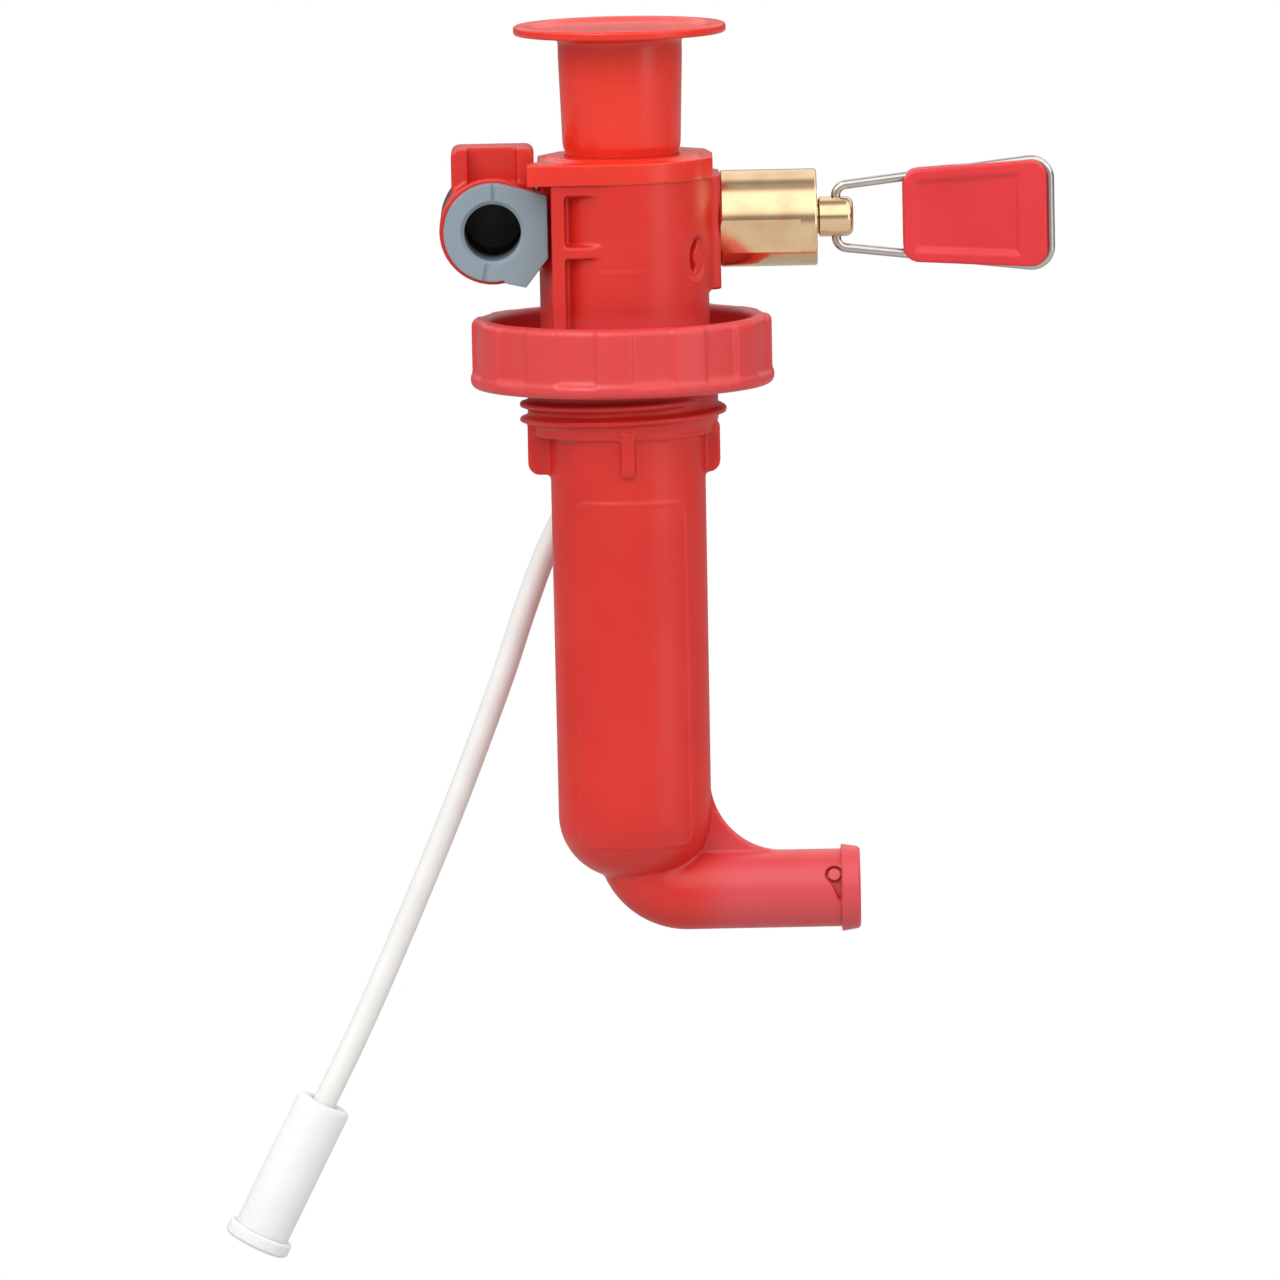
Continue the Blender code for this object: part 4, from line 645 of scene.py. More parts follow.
def filter_pieces():
    """The filter on the hose's end: a shell with a rolled lip and its end cap, with the screen inside."""
    lip = HOSE_R + 0.35 * MM
    shell = turned("filter_shell", [
        (lip, -0.2 * MM), (lip + 0.25 * MM, 0), (FILTER_R - 0.55 * MM, 0),
        (FILTER_R - 0.15 * MM, -0.2 * MM), (FILTER_R, -0.6 * MM), (FILTER_R, -FILTER_L),
        (FILTER_IN_R, -FILTER_L), (FILTER_IN_R, -3 * MM), (lip, -1.8 * MM)], FILTER_AXIS)
    top = -FILTER_L - 0.02 * MM
    low = top - FILTER_END_T
    end = turned("filter_end", [
        (FILTER_HOLE_R, top), (FILTER_END_R - 0.2 * MM, top), (FILTER_END_R, top - 0.2 * MM),
        (FILTER_END_R, low + 0.4 * MM), (FILTER_END_R - 0.4 * MM, low), (FILTER_HOLE_R, low)], FILTER_AXIS)
    finish(shell, WHITE, "housing", "filter_body", crease=32)
    finish(end, WHITE, "housing", "filter_cap", crease=32)
    return [shell, end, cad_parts["filter_screen"]]


def suction_hose(on_end):
    """The hose itself, a tube of one open spline."""
    points = hose_points()
    curve = bpy.data.curves.new("suction_tube", "CURVE")
    curve.dimensions = "3D"
    curve.bevel_depth = HOSE_R
    curve.bevel_resolution = 10
    curve.use_fill_caps = True
    spline = curve.splines.new("POLY")
    spline.points.add(len(points) - 1)
    for slot, point in zip(spline.points, points):
        slot.co = (*point, 1)
    hose = bpy.data.objects.new("suction_tube", curve)
    bpy.context.scene.collection.objects.link(hose)
    spline.use_smooth = True
    finish(hose, TUBE, "housing", "suction_hose")


# ---------------------------------------------------------------- moulded body

def scallop(turn, radius, height):
    """How deep the ring's finger hollows are at this angle and height."""
    if radius < RING_R - 1.0 * MM or height < 0.9 * MM:
        return 0
    pitch = 360 / SCALLOPS
    from_front = math.degrees(turn) + 90
    off = abs((from_front - SCALLOP_FIRST_DEG + pitch / 2) % pitch - pitch / 2)
    share = min(1, max(0, (SCALLOP_HALF_DEG - off) / SCALLOP_EDGE_DEG))
    rise = min(1, max(0, (height - SCALLOP_FOOT_Z + 1.0 * MM) / (1.2 * MM)))
    return SCALLOP_DEPTH * share * share * (3 - 2 * share) * rise


def grip_ring():
    """The scalloped ring that the hand turns, dished on top, with the threaded neck below it."""
    inner = RING_R - RING_WALL
    heights = [SCALLOP_FOOT_Z + (RING_H - 0.9 * MM - SCALLOP_FOOT_Z) * k / 6 for k in range(7)]
    profile = [(0, RING_FLOOR_Z), (inner, RING_FLOOR_Z), (inner, RING_H - 0.8 * MM)]
    profile += arc(inner + 0.8 * MM, RING_H - 0.8 * MM, 0.8 * MM, 180, 90, 5)[1:]
    profile += arc(RING_R - 0.9 * MM, RING_H - 0.9 * MM, 0.9 * MM, 90, 0, 6)
    profile += [(RING_R, z) for z in reversed(heights[:-1])]
    profile += [(RING_R, SCALLOP_FOOT_Z - 0.4 * MM), (RING_BEAD_R, 1.6 * MM), (RING_BEAD_R, 1.0 * MM)]
    profile += arc(RING_BEAD_R - 1.0 * MM, 1.0 * MM, 1.0 * MM, 0, -90, 5)[1:]
    profile += [(THREAD_ROOT_R, 0), (THREAD_ROOT_R, NECK_LOW_Z), (COLLAR_R, NECK_LOW_Z - 0.35 * MM),
                (COLLAR_R, COLLAR_LOW_Z), (0, COLLAR_LOW_Z)]
    return turned("pump_moulding", profile, steps=720, dent=scallop)


def bottle_thread():
    """The thread's helical ridge, right-handed, fading out at both ends."""
    rows = []
    per_turn = 120
    count = round(THREAD_TURNS * per_turn)
    fade = per_turn // 8
    buried = THREAD_ROOT_R - 0.5 * MM
    for i in range(count + 1):
        turn = math.radians(THREAD_LOW_DEG) + 2 * math.pi * i / per_turn
        height = THREAD_LOW_Z + THREAD_PITCH * i / per_turn
        share = min(1.0, i / fade, (count - i) / fade)
        crest = THREAD_ROOT_R - 0.1 * MM + share * (THREAD_MAJOR_R - THREAD_ROOT_R + 0.15 * MM)
        shape = ((buried, -0.75 * MM), (buried, 0.75 * MM), (crest, 0.3 * MM), (crest, -0.3 * MM))
        rows.append([(r * math.cos(turn), r * math.sin(turn), height + h) for r, h in shape])
    return loft("thread", rows, triangles=True)


def elbow_path():
    """The outlet's centreline: down the pump's axis, round the bend, then along +X."""
    bend = arc(PUMP_X + ELBOW_BEND_R, ELBOW_Z + ELBOW_BEND_R, ELBOW_BEND_R, 180, 270, 24)
    return [(x, PUMP_Y, z) for x, z in bend]


def barrel():
    """The pump barrel's outside, from the ring down to its rounded bottom."""
    top = RING_FLOOR_Z / 2
    flat = BARREL_R_LOW - BARREL_CORNER_R
    drop = BARREL_CORNER_Z - BARREL_BOTTOM_Z
    profile = [(0, top), (BARREL_R_TOP, top), (BARREL_R_TOP, COLLAR_LOW_Z)]
    for k in range(19):
        turn = math.radians(5 * k)
        profile.append((flat + BARREL_CORNER_R * math.cos(turn), BARREL_CORNER_Z - drop * math.sin(turn)))
    profile.append((0, BARREL_BOTTOM_Z))
    return turned("barrel", profile, PUMP_AXIS)


def wings():
    """Four upright ribs under the collar, which centre the pump in the bottle's neck."""
    made = []
    corner = 1.6 * MM
    for i in range(4):
        shape = [(5 * MM, NECK_LOW_Z - 0.5 * MM), (WING_R, NECK_LOW_Z - 0.5 * MM)]
        shape += arc(WING_R - corner, WING_LOW_Z + corner, corner, 0, -90, 6)
        shape += [(5 * MM, WING_LOW_Z)]
        place = Matrix.Translation((PUMP_X * (i % 2), PUMP_Y * (1 - i % 2), 0))
        place = place @ Matrix.Rotation(i * math.pi / 2, 4, "Z")
        made.append(prism(f"wing_{i}", shape, -WING_T / 2, WING_T / 2, "XZ", place))
    return made


def web():
    """The curved web between barrel and outlet."""
    side = PUMP_X + BARREL_R_LOW - 0.1 * MM
    top = ELBOW_Z + ELBOW_R - 0.1 * MM
    inside = 1.3 * MM
    outline = [(side - inside, top - inside), (side - inside, top + WEB_R)]
    outline += arc(side + WEB_R, top + WEB_R, WEB_R, 180, 270, 24)
    outline += [(side + WEB_R, top - inside)]
    return prism("web", outline, PUMP_Y - WEB_T / 2, PUMP_Y + WEB_T / 2, "XZ")


def upper_housing():
    """The housing above the ring: its round wall, front rib and gussets, and the fuel gallery behind."""
    low = RING_FLOOR_Z - 1 * MM
    made = [turned("housing", [(0, low), (HOUSING_R, low), (HOUSING_R, HOUSING_TOP_Z), (0, HOUSING_TOP_Z)],
                   PUMP_AXIS)]
    made.append(block("rib", (RIB_LEFT_X, RIB_RIGHT_X), (RIB_FRONT_Y, PUMP_Y),
                      (RING_FLOOR_Z - 1.4 * MM, HOUSING_TOP_Z - 0.2 * MM)))
    for i, z in enumerate(GUSSET_ZS):
        made.append(block(f"gusset_{i}", (RIB_RIGHT_X - 0.5 * MM, GUSSET_RIGHT_X),
                          (RIB_FRONT_Y + 0.1 * MM, PUMP_Y - 4 * MM), (z - GUSSET_T / 2, z + GUSSET_T / 2)))
    turn = math.radians(18)
    gallery = [
        (PUMP_X, PUMP_Y), (PUMP_X + HOUSING_R * math.cos(turn), PUMP_Y - HOUSING_R * math.sin(turn)),
        (PUMP_X + HOUSING_R + 0.5 * MM, PUMP_Y - 0.6 * MM), (BLOCK_RIGHT_X, PUMP_Y),
        (BLOCK_RIGHT_X, BLOCK_BACK_Y - 4.0 * MM), (BLOCK_RIGHT_X - 1.4 * MM, BLOCK_BACK_Y - 1.6 * MM),
        (BLOCK_RIGHT_X - 4.3 * MM, BLOCK_BACK_Y),
        (BLOCK_LEFT_X + 6.8 * MM, BLOCK_BACK_Y), (BLOCK_LEFT_X + 2.2 * MM, BLOCK_BACK_Y - 3.5 * MM),
        (BLOCK_LEFT_X, 2.0 * MM),
    ]
    made.append(prism("gallery", gallery, BLOCK_LOW_Z, HOUSING_TOP_Z - 0.4 * MM))
    made.append(bar("suction_column", SUCTION_COLUMN_R, (SUCTION.x, SUCTION.y, RING_FLOOR_Z - 1.8 * MM),
                    (SUCTION.x, SUCTION.y, BLOCK_LOW_Z + 1 * MM)))
    return made


def port_and_catch():
    """The tube that takes the stove's fuel line, the bridge behind it, and the grooved catch above."""
    made = [bar("port", PORT_R, (PORT_X, PORT_BACK_Y, PORT_Z), (PORT_X, PORT_FRONT_Y, PORT_Z), ROUND)]
    made.append(block("bridge", (PORT_X + 4 * MM, -6 * MM), (PORT_FRONT_Y + 2.4 * MM, SUCTION.y),
                      (PORT_Z - 5.2 * MM, PORT_Z + 5.0 * MM)))
    corners = [(CATCH_LEFT_X, PORT_Z + 4 * MM), (CATCH_LEFT_X, CATCH_TOP_Z),
               (CATCH_RIGHT_X, CATCH_TOP_Z), (CATCH_RIGHT_X, PORT_Z + 4 * MM)]
    outline = rounded(corners, [0, CATCH_CORNER_R, CATCH_CORNER_R, 0])
    made.append(prism("catch", outline, CATCH_FRONT_Y, CATCH_BACK_Y, "XZ"))
    return made


def pin_way():
    """The unit direction from the outlet tube's axis to the bayonet pin."""
    turn = math.radians(PIN_DEG)
    return Vector((0, -math.cos(turn), math.sin(turn)))


def bayonet_slot():
    """The slot that the cap's pin slides into: from its seat it slants down to the tube's end."""
    rows = []
    steps = 16
    half = 0.4 * SLOT_W
    for i in range(steps + 1):
        share = i / steps
        turn = math.radians(PIN_DEG + (SLOT_MOUTH_DEG - PIN_DEG) * share)
        middle = PIN_X + share * (ELBOW_END_X + 0.3 * MM - PIN_X)
        corners = ((-half, CHAMBER_R - 0.4 * MM), (half, CHAMBER_R - 0.4 * MM),
                   (half, ELBOW_R + 0.6 * MM), (-half, ELBOW_R + 0.6 * MM))
        rows.append([(middle + x, PUMP_Y - r * math.cos(turn), ELBOW_Z + r * math.sin(turn))
                     for x, r in corners])
    return loft("slot", rows, triangles=True)


def outer_cuts():
    """What is hollowed from the moulding before its edges are softened."""
    turn = math.radians(POCKET_DEG)
    way = Vector((math.sin(turn), -math.cos(turn), 0))
    wall = Vector((PUMP_X, PUMP_Y, POCKET_Z)) + way * HOUSING_R
    slot_x = (CATCH_LEFT_X + CATCH_RIGHT_X) / 2
    facing = Matrix.Translation(wall) @ way.to_track_quat("Z", "Y").to_matrix().to_4x4()
    pocket = turned("pocket", [
        (0, -POCKET_DEEP), (POCKET_R, -POCKET_DEEP), (POCKET_R, 3 * MM), (0, 3 * MM)], facing, 64)
    ways = arc(1.9 * MM, 0, 2.2 * MM, 112, 232, 14)
    slits = [swept("slit", [facing @ Vector((a, b, -depth)) for a, b in ways], 0.6 * MM, 16)
             for depth in (0.7 * MM, 1.3 * MM)]
    axis = Vector((PIN_X, PUMP_Y, ELBOW_Z))
    return [
        pocket,
        *slits,
        block("catch_slot", (slot_x - CATCH_SLOT_W / 2, slot_x + CATCH_SLOT_W / 2),
              (CATCH_FRONT_Y - 1 * MM, CATCH_FRONT_Y + CATCH_SLOT_D),
              (PORT_Z + PORT_R - 1.4 * MM, CATCH_TOP_Z + 1 * MM)),
        bayonet_slot(),
        bar("pin_seat", SLOT_W / 2, axis + pin_way() * (CHAMBER_R - 0.5 * MM),
            axis + pin_way() * (ELBOW_R + 1 * MM), 32),
    ]


def inner_cuts():
    """The bores: pump cylinder, outlet, check-valve chamber and fuel port."""
    sleeve_low = HOUSING_TOP_Z - SLEEVE_L - 0.3 * MM
    wide = ROD_R + 2.5 * MM
    high = HOUSING_TOP_Z + 1 * MM
    cylinder = turned("cylinder", [
        (0, CYLINDER_FLOOR_Z), (CYLINDER_R, CYLINDER_FLOOR_Z), (CYLINDER_R, sleeve_low),
        (wide, sleeve_low), (wide, high), (0, high)], PUMP_AXIS)
    chamber_x = ELBOW_END_X - CHAMBER_DEEP
    outlet = [(PUMP_X, PUMP_Y, CYLINDER_FLOOR_Z + 1 * MM), *elbow_path(),
              (chamber_x + 1 * MM, PUMP_Y, ELBOW_Z)]
    return [
        cylinder,
        swept("outlet", outlet, OUTLET_R),
        bar("chamber", CHAMBER_R, (chamber_x, PUMP_Y, ELBOW_Z), (ELBOW_END_X + 1 * MM, PUMP_Y, ELBOW_Z)),
        bar("port_socket", PORT_SOCKET_R, (PORT_X, PORT_SOCKET_END_Y, PORT_Z),
            (PORT_X, PORT_FRONT_Y - 1 * MM, PORT_Z)),
        bar("port_bore", PORT_BORE_R, (PORT_X, PORT_BACK_Y - 1.4 * MM, PORT_Z),
            (PORT_X, PORT_SOCKET_END_Y - 1 * MM, PORT_Z)),
        bar("valve_seat_bore", NUT_PORT_R, (BLOCK_RIGHT_X - NUT_PORT_L, VALVE_Y, VALVE_Z),
            (BLOCK_RIGHT_X + 1 * MM, VALVE_Y, VALVE_Z)),
    ]


def raise_marks(body):
    """Lifts the barrel's blank panel with its thin rim, and draws the mould's witness lines.

    It moves points of the skin.
    """
    ease = 0.3 * MM
    panel_x = sum(PANEL_XS) / 2
    panel_z = sum(PANEL_ZS) / 2

    def within(value, low, high):
        inside = min(value - low, high - value)
        share = min(1.0, max(0.0, inside / ease + 0.5))
        return share * share * (3 - 2 * share)

    for point in body.data.vertices:
        x, y, z = point.co
        if y > PUMP_Y - 2 * MM:
            continue
        across = abs(x - panel_x) - (PANEL_XS[1] - panel_x) + PANEL_CORNER_R
        up = abs(z - panel_z) - (PANEL_ZS[1] - panel_z) + PANEL_CORNER_R
        outside = math.hypot(max(across, 0), max(up, 0)) + min(max(across, up), 0) - PANEL_CORNER_R
        lift = PANEL_RISE * within(-outside, 0, BARREL_R_LOW * 2)
        lift += RIM_RISE * within(outside, -RIM_HALF, RIM_HALF)
        lift += SEAM_RISE * within(x, *SEAM_XS) * within(z, SEAM_Z - LINE_HALF, SEAM_Z + LINE_HALF)
        lift += FOOT_LINE_RISE * within(x, *PANEL_XS) * within(z, FOOT_LINE_Z - LINE_HALF,
                                                                FOOT_LINE_Z + LINE_HALF)
        if lift:
            out = Vector((x - PUMP_X, y - PUMP_Y, 0)).normalized()
            point.co += out * lift


def pump_moulding():
    """The whole red moulding under one softened skin."""
    body = grip_ring()
    run = [(PUMP_X, PUMP_Y, BARREL_CORNER_Z - 1 * MM), *elbow_path(), (ELBOW_END_X, PUMP_Y, ELBOW_Z)]
    joined = [bottle_thread(), barrel(), *wings(), *upper_housing(), *port_and_catch(),
              swept("elbow", run, ELBOW_R, 96), web()]
    combine(body, joined, "UNION")
    combine(body, outer_cuts(), "DIFFERENCE")
    soften(body)
    raise_marks(body)
    combine(body, inner_cuts(), "DIFFERENCE")
    finish(body, RED_BODY, "housing", "pump_body", crease=50)


# ---------------------------------------------------------------- plunger and its plate

def plunger_plate():
    """The plate that covers the housing, with the low hub that the plunger slides through."""
    low = HOUSING_TOP_Z - 0.5 * MM
    right = BLOCK_RIGHT_X - 0.9 * MM
    left = CATCH_RIGHT_X + 0.5 * MM
    outline = [(left - 1.4 * MM, PLATE_FRONT_Y)]
    outline += arc(PUMP_X, PUMP_Y, PUMP_Y - PLATE_FRONT_Y, -90, -25, 24)
    outline += [
        (right, PUMP_Y - 2.5 * MM), (right, BLOCK_BACK_Y - 9 * MM),
        (right - 0.9 * MM, BLOCK_BACK_Y - 3 * MM), (right - 4.5 * MM, BLOCK_BACK_Y + 0.5 * MM),
        (BLOCK_LEFT_X + 6.8 * MM, BLOCK_BACK_Y + 0.5 * MM),
        (BLOCK_LEFT_X + 2.4 * MM, BLOCK_BACK_Y - 3.5 * MM), (left, CATCH_BACK_Y),
        (left, CATCH_FRONT_Y - 1 * MM), (left - 1.4 * MM, CATCH_FRONT_Y - 4 * MM),
    ]
    plate = prism("plate", outline, low, PLATE_TOP_Z)
    hub = turned("hub", [(0, PLATE_TOP_Z - 1 * MM), (HUB_R + HUB_H, PLATE_TOP_Z - 1 * MM),
                         (HUB_R + HUB_H, PLATE_TOP_Z), (HUB_R, PLATE_TOP_Z + HUB_H),
                         (0, PLATE_TOP_Z + HUB_H)], PUMP_AXIS)
    reach = ROD_R + SLEEVE_WALL
    sleeve = turned("sleeve", [(0, HOUSING_TOP_Z - SLEEVE_L), (reach, HOUSING_TOP_Z - SLEEVE_L),
                               (reach, low + 1 * MM), (0, low + 1 * MM)], PUMP_AXIS)
    combine(plate, [hub, sleeve], "UNION")
    soften(plate, 0.2 * MM)
    hole = turned("hole", [(0, 0), (ROD_R + 0.12 * MM, 0), (ROD_R + 0.12 * MM, 2 * PLATE_TOP_Z),
                           (0, 2 * PLATE_TOP_Z)], PUMP_AXIS)
    combine(plate, [hole], "DIFFERENCE")
    finish(plate, BRIGHT_RED, "housing", "plunger_bushing", crease=50)


def plunger():
    """The hand button, dished on top, and the hollow rod below it."""
    top = HEAD_HIGH.z
    under = top - HEAD_RIM_T
    dish = top - HEAD_DISH
    edge = 0.45 * MM
    profile = [(0, dish), (HEAD_DISH_R - 1.2 * MM, dish), (HEAD_DISH_R - 0.6 * MM, dish + 0.08 * MM),
               (HEAD_DISH_R, top - 0.1 * MM), (HEAD_DISH_R + 0.4 * MM, top)]
    profile += arc(HEAD_R - edge, top - edge, edge, 90, 0, 6)
    profile += arc(HEAD_R - edge, under + edge, edge, 0, -90, 6)
    profile += [(ROD_TOP_R + 1.6 * MM, under - 0.15 * MM)]
    profile += arc(ROD_TOP_R + 1.2 * MM, under - 1.4 * MM, 1.2 * MM, 100, 180, 8)
    profile += [(ROD_TOP_R, under - 3 * MM), (ROD_R + 0.3 * MM, ROD_SHOULDER_Z + 0.4 * MM),
                (ROD_R + 0.15 * MM, ROD_SHOULDER_Z - 0.2 * MM), (ROD_R, ROD_SHOULDER_Z - 0.5 * MM),
                (ROD_R, ROD_LOW_Z),
                (ROD_BORE_R, ROD_LOW_Z), (ROD_BORE_R, under - 4 * MM), (0, under - 4 * MM)]
    made = turned("plunger_button", profile, PUMP_AXIS, 192)
    finish(made, BRIGHT_RED, "plunger_rod", "plunger", crease=40)


# ---------------------------------------------------------------- fuel valve and bail

def valve_nut():
    """The turned brass nut, with a wrench flat milled on its front and back."""
    face = BLOCK_RIGHT_X + 0.03 * MM
    end = NUT_HIGH.x
    spigot = BLOCK_RIGHT_X - NUT_SPIGOT_L
    bore = SPINDLE_R + 0.1 * MM
    recess = SEAL_R + 0.1 * MM
    nut = turned("nut", [
        (bore, spigot), (NUT_SPIGOT_R, spigot), (NUT_SPIGOT_R, face), (NUT_R - 0.25 * MM, face),
        (NUT_R, face + 0.25 * MM), (NUT_R, end - 0.3 * MM), (NUT_R - 0.1 * MM, end - 0.1 * MM),
        (NUT_R - 0.3 * MM, end), (recess + 0.2 * MM, end), (recess, end - 0.2 * MM),
        (recess, end - NUT_RECESS_L), (bore, end - NUT_RECESS_L)], VALVE_AXIS, 192)
    place = Matrix.Translation((0, VALVE_Y, VALVE_Z)) @ Matrix.Rotation(math.radians(NUT_FLAT_DEG), 4, "X")
    flats = [block("flat", (face - 1 * MM, NUT_FLAT_END_X), side, (-8 * MM, 8 * MM), place)
             for side in ((-9 * MM, -NUT_FLAT), (NUT_FLAT, 9 * MM))]
    combine(nut, flats, "DIFFERENCE")
    finish(nut, BRASS, "housing", "valve_nut", crease=14)


def valve_spindle():
    """The brass spindle: cone, seal groove and the round-ended stem with its cross-hole."""
    tip = BLOCK_RIGHT_X - NUT_SPIGOT_L - WASHER_T + 0.2 * MM
    groove = NUT_HIGH.x - 4.6 * MM
    groove_end = groove + SEAL_T + 0.05 * MM
    stem = NUT_HIGH.x + 0.05 * MM
    end = STEM_HIGH.x
    land = SEAL_R - 0.1 * MM
    nose = 1.1 * MM
    profile = [
        (0, tip), (WASHER_HOLE_R - 0.7 * MM, tip), (SPINDLE_R, tip + 2.4 * MM),
        (SPINDLE_R, groove - 0.9 * MM), (land, groove - 0.9 * MM), (land, groove - 0.05 * MM),
        (SPINDLE_R, groove - 0.05 * MM), (SPINDLE_R, groove_end), (land, groove_end),
        (land, stem - 0.9 * MM), (STEM_NECK_R, stem - 0.6 * MM), (STEM_NECK_R, stem + 0.1 * MM),
        (STEM_R, stem + 0.35 * MM),
    ]
    profile += [(end_r, x) for x, end_r in arc(end - nose, STEM_R - nose, nose, 90, 0, 8)]
    profile.append((0, end))
    made = turned("spindle", profile, VALVE_AXIS, 96)
    hole = bar("cross_hole", WIRE_R + 0.15 * MM, (BAIL_X, VALVE_Y, VALVE_Z - 2 * STEM_R),
               (BAIL_X, VALVE_Y, VALVE_Z + 2 * STEM_R), 32)
    combine(made, [hole], "DIFFERENCE")
    finish(made, BRASS, "spindle", "valve_spindle", crease=30)


def bail_path():
    """The wire's centreline, from one end in the cross-hole round to the other."""
    corners = [(BAIL_X, WIRE_END), (BAIL_X, BAIL_HALF_NEAR), (BAIL_END_X, BAIL_HALF_FAR),
               (BAIL_END_X, -BAIL_HALF_FAR), (BAIL_X, -BAIL_HALF_NEAR), (BAIL_X, -WIRE_END)]
    radii = [0, BAIL_BEND_R, BAIL_CORNER_R, BAIL_CORNER_R, BAIL_BEND_R, 0]
    return [(x, VALVE_Y, VALVE_Z + z) for x, z in rounded(corners, radii, 14)]


def bail_wire():
    """The bent spring wire that turns the valve."""
    finish(swept("bail", bail_path(), WIRE_R), STEEL, "handle", "bail_wire")


def handle_grip():
    """The moulded grip: a puffed rim round a soft dip on each face, and a groove for the wire."""
    right = GRIP_HIGH.x + 0.3 * MM
    corners = [(GRIP_LOW.x - 0.1 * MM, -GRIP_HALF_LEFT), (GRIP_LOW.x - 0.1 * MM, GRIP_HALF_LEFT),
               (right, GRIP_HALF_RIGHT), (right, -GRIP_HALF_RIGHT)]
    outline = [(x, VALVE_Z + z) for x, z in rounded(corners, [GRIP_CORNER_R] * 4, 10)]
    grip = prism("grip", outline, GRIP_LOW.y, GRIP_HIGH.y, "XZ")
    soften(grip, 0.2 * MM, 24)
    (dip_left, half_left), (dip_right, half_right) = GRIP_PANEL
    ease = 1.1 * MM
    for point in grip.data.vertices:
        x, y, z = point.co
        share = (x - dip_left) / (dip_right - dip_left)
        half = half_left + (half_right - half_left) * share
        inside = min(x - dip_left, dip_right - x, half - abs(z - VALVE_Z))
        depth = min(1.0, max(0.0, inside / ease + 0.5))
        flat = min(1.0, abs(y - VALVE_Y) / (1.0 * MM))
        point.co.y -= math.copysign(GRIP_DIP * flat * depth * depth * (3 - 2 * depth), y - VALVE_Y)
    combine(grip, [swept("groove", bail_path(), WIRE_R + 0.04 * MM)], "DIFFERENCE")
    finish(grip, GRIP_RED, "handle", "handle_grip", crease=50)


# ---------------------------------------------------------------- port bushing and outlet cap

def port_bushing():
    """The grey bushing that guides the fuel tube: two halves, with a locking tab on the right."""
    outline = [(PORT_X + 0.9 * MM, PORT_Z + FLANGE_R), (TAB_RIGHT_X, PORT_Z + 5.0 * MM),
               (TAB_RIGHT_X, PORT_Z - 3.6 * MM), (TAB_LOBE_X, PORT_Z - 7.6 * MM),
               (PORT_X + 1.7 * MM, PORT_Z - 7.0 * MM)]
    outline += arc(PORT_X, PORT_Z, FLANGE_R, -78, -276, 60)
    made = prism("bushing", outline, TAB_FRONT_Y, PORT_FRONT_Y - 0.05 * MM, "XZ")
    sleeve = bar("sleeve", SLEEVE_R, (PORT_X, SLEEVE_END_Y, PORT_Z),
                 (PORT_X, PORT_FRONT_Y - 0.6 * MM, PORT_Z))
    combine(made, [sleeve], "UNION")
    half = 0.22 * MM
    partings = []
    centre = Matrix.Translation((PORT_X, TAB_FRONT_Y, PORT_Z))
    for degrees in PARTING_DEGS:
        place = centre @ Matrix.Rotation(-math.radians(degrees), 4, "Y")
        partings.append(block("parting", (PORT_BORE_R - 1 * MM, FLANGE_R + 2 * MM), (-1 * MM, 0.35 * MM),
                              (-half, half), place))
    combine(made, partings, "DIFFERENCE")
    soften(made, 0.15 * MM, 2)
    depth = -TAB_FRONT_Y
    chamfer = 0.5 * MM
    bore = turned("bore", [
        (0, -SLEEVE_END_Y - 1 * MM), (PORT_BORE_R, -SLEEVE_END_Y - 1 * MM), (PORT_BORE_R, depth - chamfer),
        (PORT_BORE_R + 2 * chamfer, depth + chamfer), (0, depth + chamfer)], PORT_AXIS)
    combine(made, [bore], "DIFFERENCE")
    finish(made, GREY, "housing", "fuel_tube_bushing", crease=40)


def outlet_cap():
    """The bayonet cap on the outlet: a coned flange, a hollow sleeve with a seal groove, and a pin."""
    face = ELBOW_END_X - 0.3 * MM
    end = CAP_HIGH.x + 0.2 * MM
    sleeve = CHAMBER_R - 0.05 * MM
    inside = sleeve - 1.0 * MM
    low = CAP_LOW.x
    groove = low + 0.8 * MM
    groove_end = groove + 1.2 * MM
    groove_r = sleeve - 0.55 * MM
    made = turned("cap", [
        (inside, low), (sleeve, low), (sleeve, groove), (groove_r, groove), (groove_r, groove_end),
        (sleeve, groove_end), (sleeve, face),
        (CAP_R - 0.15 * MM, face), (CAP_R, face + 0.15 * MM), (CAP_R - 0.35 * MM, end - 0.3 * MM),
        (CAP_R - 0.7 * MM, end), (CAP_HOLE_R, end), (CAP_HOLE_R, face), (inside, face)], OUTLET_AXIS)
    axis = Vector((PIN_X, PUMP_Y, ELBOW_Z))
    pin = bar("pin", PIN_R, axis + pin_way() * (sleeve - 0.5 * MM),
              axis + pin_way() * (ELBOW_R - 0.1 * MM), 32)
    combine(made, [pin], "UNION")
    finish(made, RED_BODY, "housing", "check_valve_cap", crease=30)


def check_spring():
    """The check valve's spring, wound at an even pitch; in the real valve its turns close up against the
    cap as the ball lifts.
    """
    low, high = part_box("check_spring")
    first, last = low.x + SPRING_WIRE_R, high.x - SPRING_WIRE_R
    reach = (high.y - low.y) / 2 - SPRING_WIRE_R
    path = []
    per_turn = 32
    count = SPRING_TURNS * per_turn
    for i in range(count + 1):
        turn = 2 * math.pi * i / per_turn
        along = first + (last - first) * i / count
        path.append((along, PUMP_Y + reach * math.cos(turn), ELBOW_Z + reach * math.sin(turn)))
    spring = swept("spring", path, SPRING_WIRE_R, 16)
    finish(spring, STEEL, "housing", "check_spring")
    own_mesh(spring)


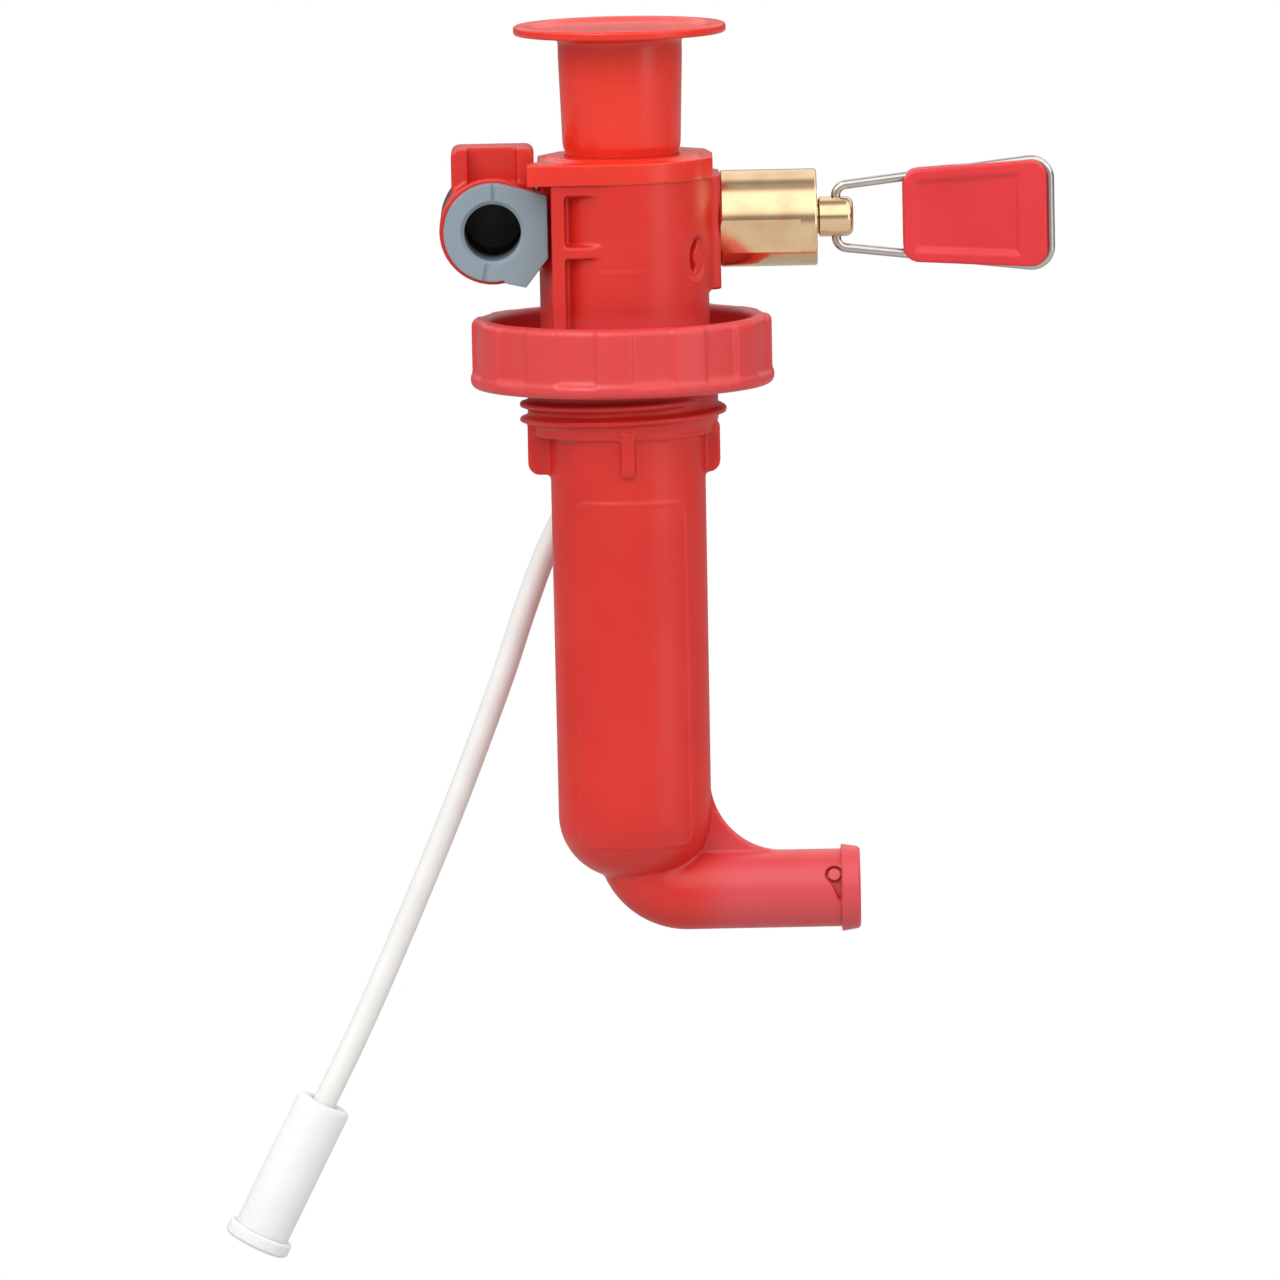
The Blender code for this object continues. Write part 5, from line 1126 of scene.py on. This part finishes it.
def inner_pieces():
    """Finishes for the seals, the leather cup and the other small pieces that keep their CAD shape."""
    finishes = {
        "cup_carrier": WHITE, "pump_cup": LEATHER, "cup_retainer": STEEL, "valve_body_oring": RUBBER,
        "valve_seat_washer": TUBE, "valve_oring": RUBBER, "fuel_tube_oring": RUBBER,
        "bottle_gasket": RUBBER, "check_ball": RUBBER, "check_valve_oring": RUBBER,
        "suction_barb": BRASS, "filter_screen": SCREEN,
    }
    for node, material in finishes.items():
        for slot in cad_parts[node].material_slots:
            slot.material = material


# ---------------------------------------------------------------- light

def softbox(name, place, toward, size, power):
    """A rectangular white studio light aimed at a point."""
    lamp = bpy.data.lights.new(name, "AREA")
    lamp.shape = "RECTANGLE"
    lamp.size, lamp.size_y = size
    lamp.energy = power
    holder = bpy.data.objects.new(name, lamp)
    holder.location = place
    holder.rotation_euler = (Vector(toward) - Vector(place)).to_track_quat("-Z", "Y").to_euler()
    bpy.context.scene.collection.objects.link(holder)


def room():
    """A white light tent: bright walls above, a darker slot at eye level, and a paler table below."""
    world = bpy.data.worlds.new("light_tent")
    world.use_nodes = True
    tree = world.node_tree
    back = tree.nodes["Background"]
    way = add(tree, "ShaderNodeTexCoord").outputs["Generated"]
    axes = add(tree, "ShaderNodeSeparateXYZ", inputs={0: way}).outputs
    share = add(tree, "ShaderNodeMapRange", inputs={"Value": axes[2], "From Min": -1.0})
    behind = add(tree, "ShaderNodeMapRange", inputs={
        "Value": axes[1], "From Min": -0.02, "From Max": 0.12, "To Min": 1.0, "To Max": TENT_BACK})
    walls = add(tree, "ShaderNodeValToRGB", inputs={"Fac": share.outputs[0]})
    ramp = walls.color_ramp
    for place, level in TENT:
        mark = ramp.elements.new((place + 1) / 2)
        mark.color = (level, level, level, 1)
    ramp.elements.remove(ramp.elements[0])
    ramp.elements.remove(ramp.elements[-1])
    # The paper behind the object is lit on its own, and shows plain white
    paper = add(tree, "ShaderNodeLightPath").outputs["Is Camera Ray"]
    sides = add(tree, "ShaderNodeVectorMath", {"operation": "SCALE"},
                {0: walls.outputs[0], 3: behind.outputs[0]})
    seen = add(tree, "ShaderNodeMix", {"data_type": "RGBA"},
               {0: paper, 6: sides.outputs[0], 7: (1 / TENT_LIGHT, 1 / TENT_LIGHT, 1 / TENT_LIGHT, 1)})
    connect(tree, back, {"Color": seen.outputs[2], "Strength": TENT_LIGHT})
    bpy.context.scene.world = world
    middle = (0, 0, -0.02)
    softbox("key", (-0.55, -0.9, 0.75), middle, (0.6, 0.6), 4.5)
    softbox("fill", (0.9, -0.7, 0.2), middle, (0.5, 0.9), 1.5)
    bpy.context.scene.view_settings.view_transform = "Standard"


aim_camera()
suction_hose(filter_pieces())
pump_moulding()
plunger_plate()
plunger()
valve_nut()
valve_spindle()
bail_wire()
handle_grip()
port_bushing()
outlet_cap()
check_spring()
inner_pieces()
room()
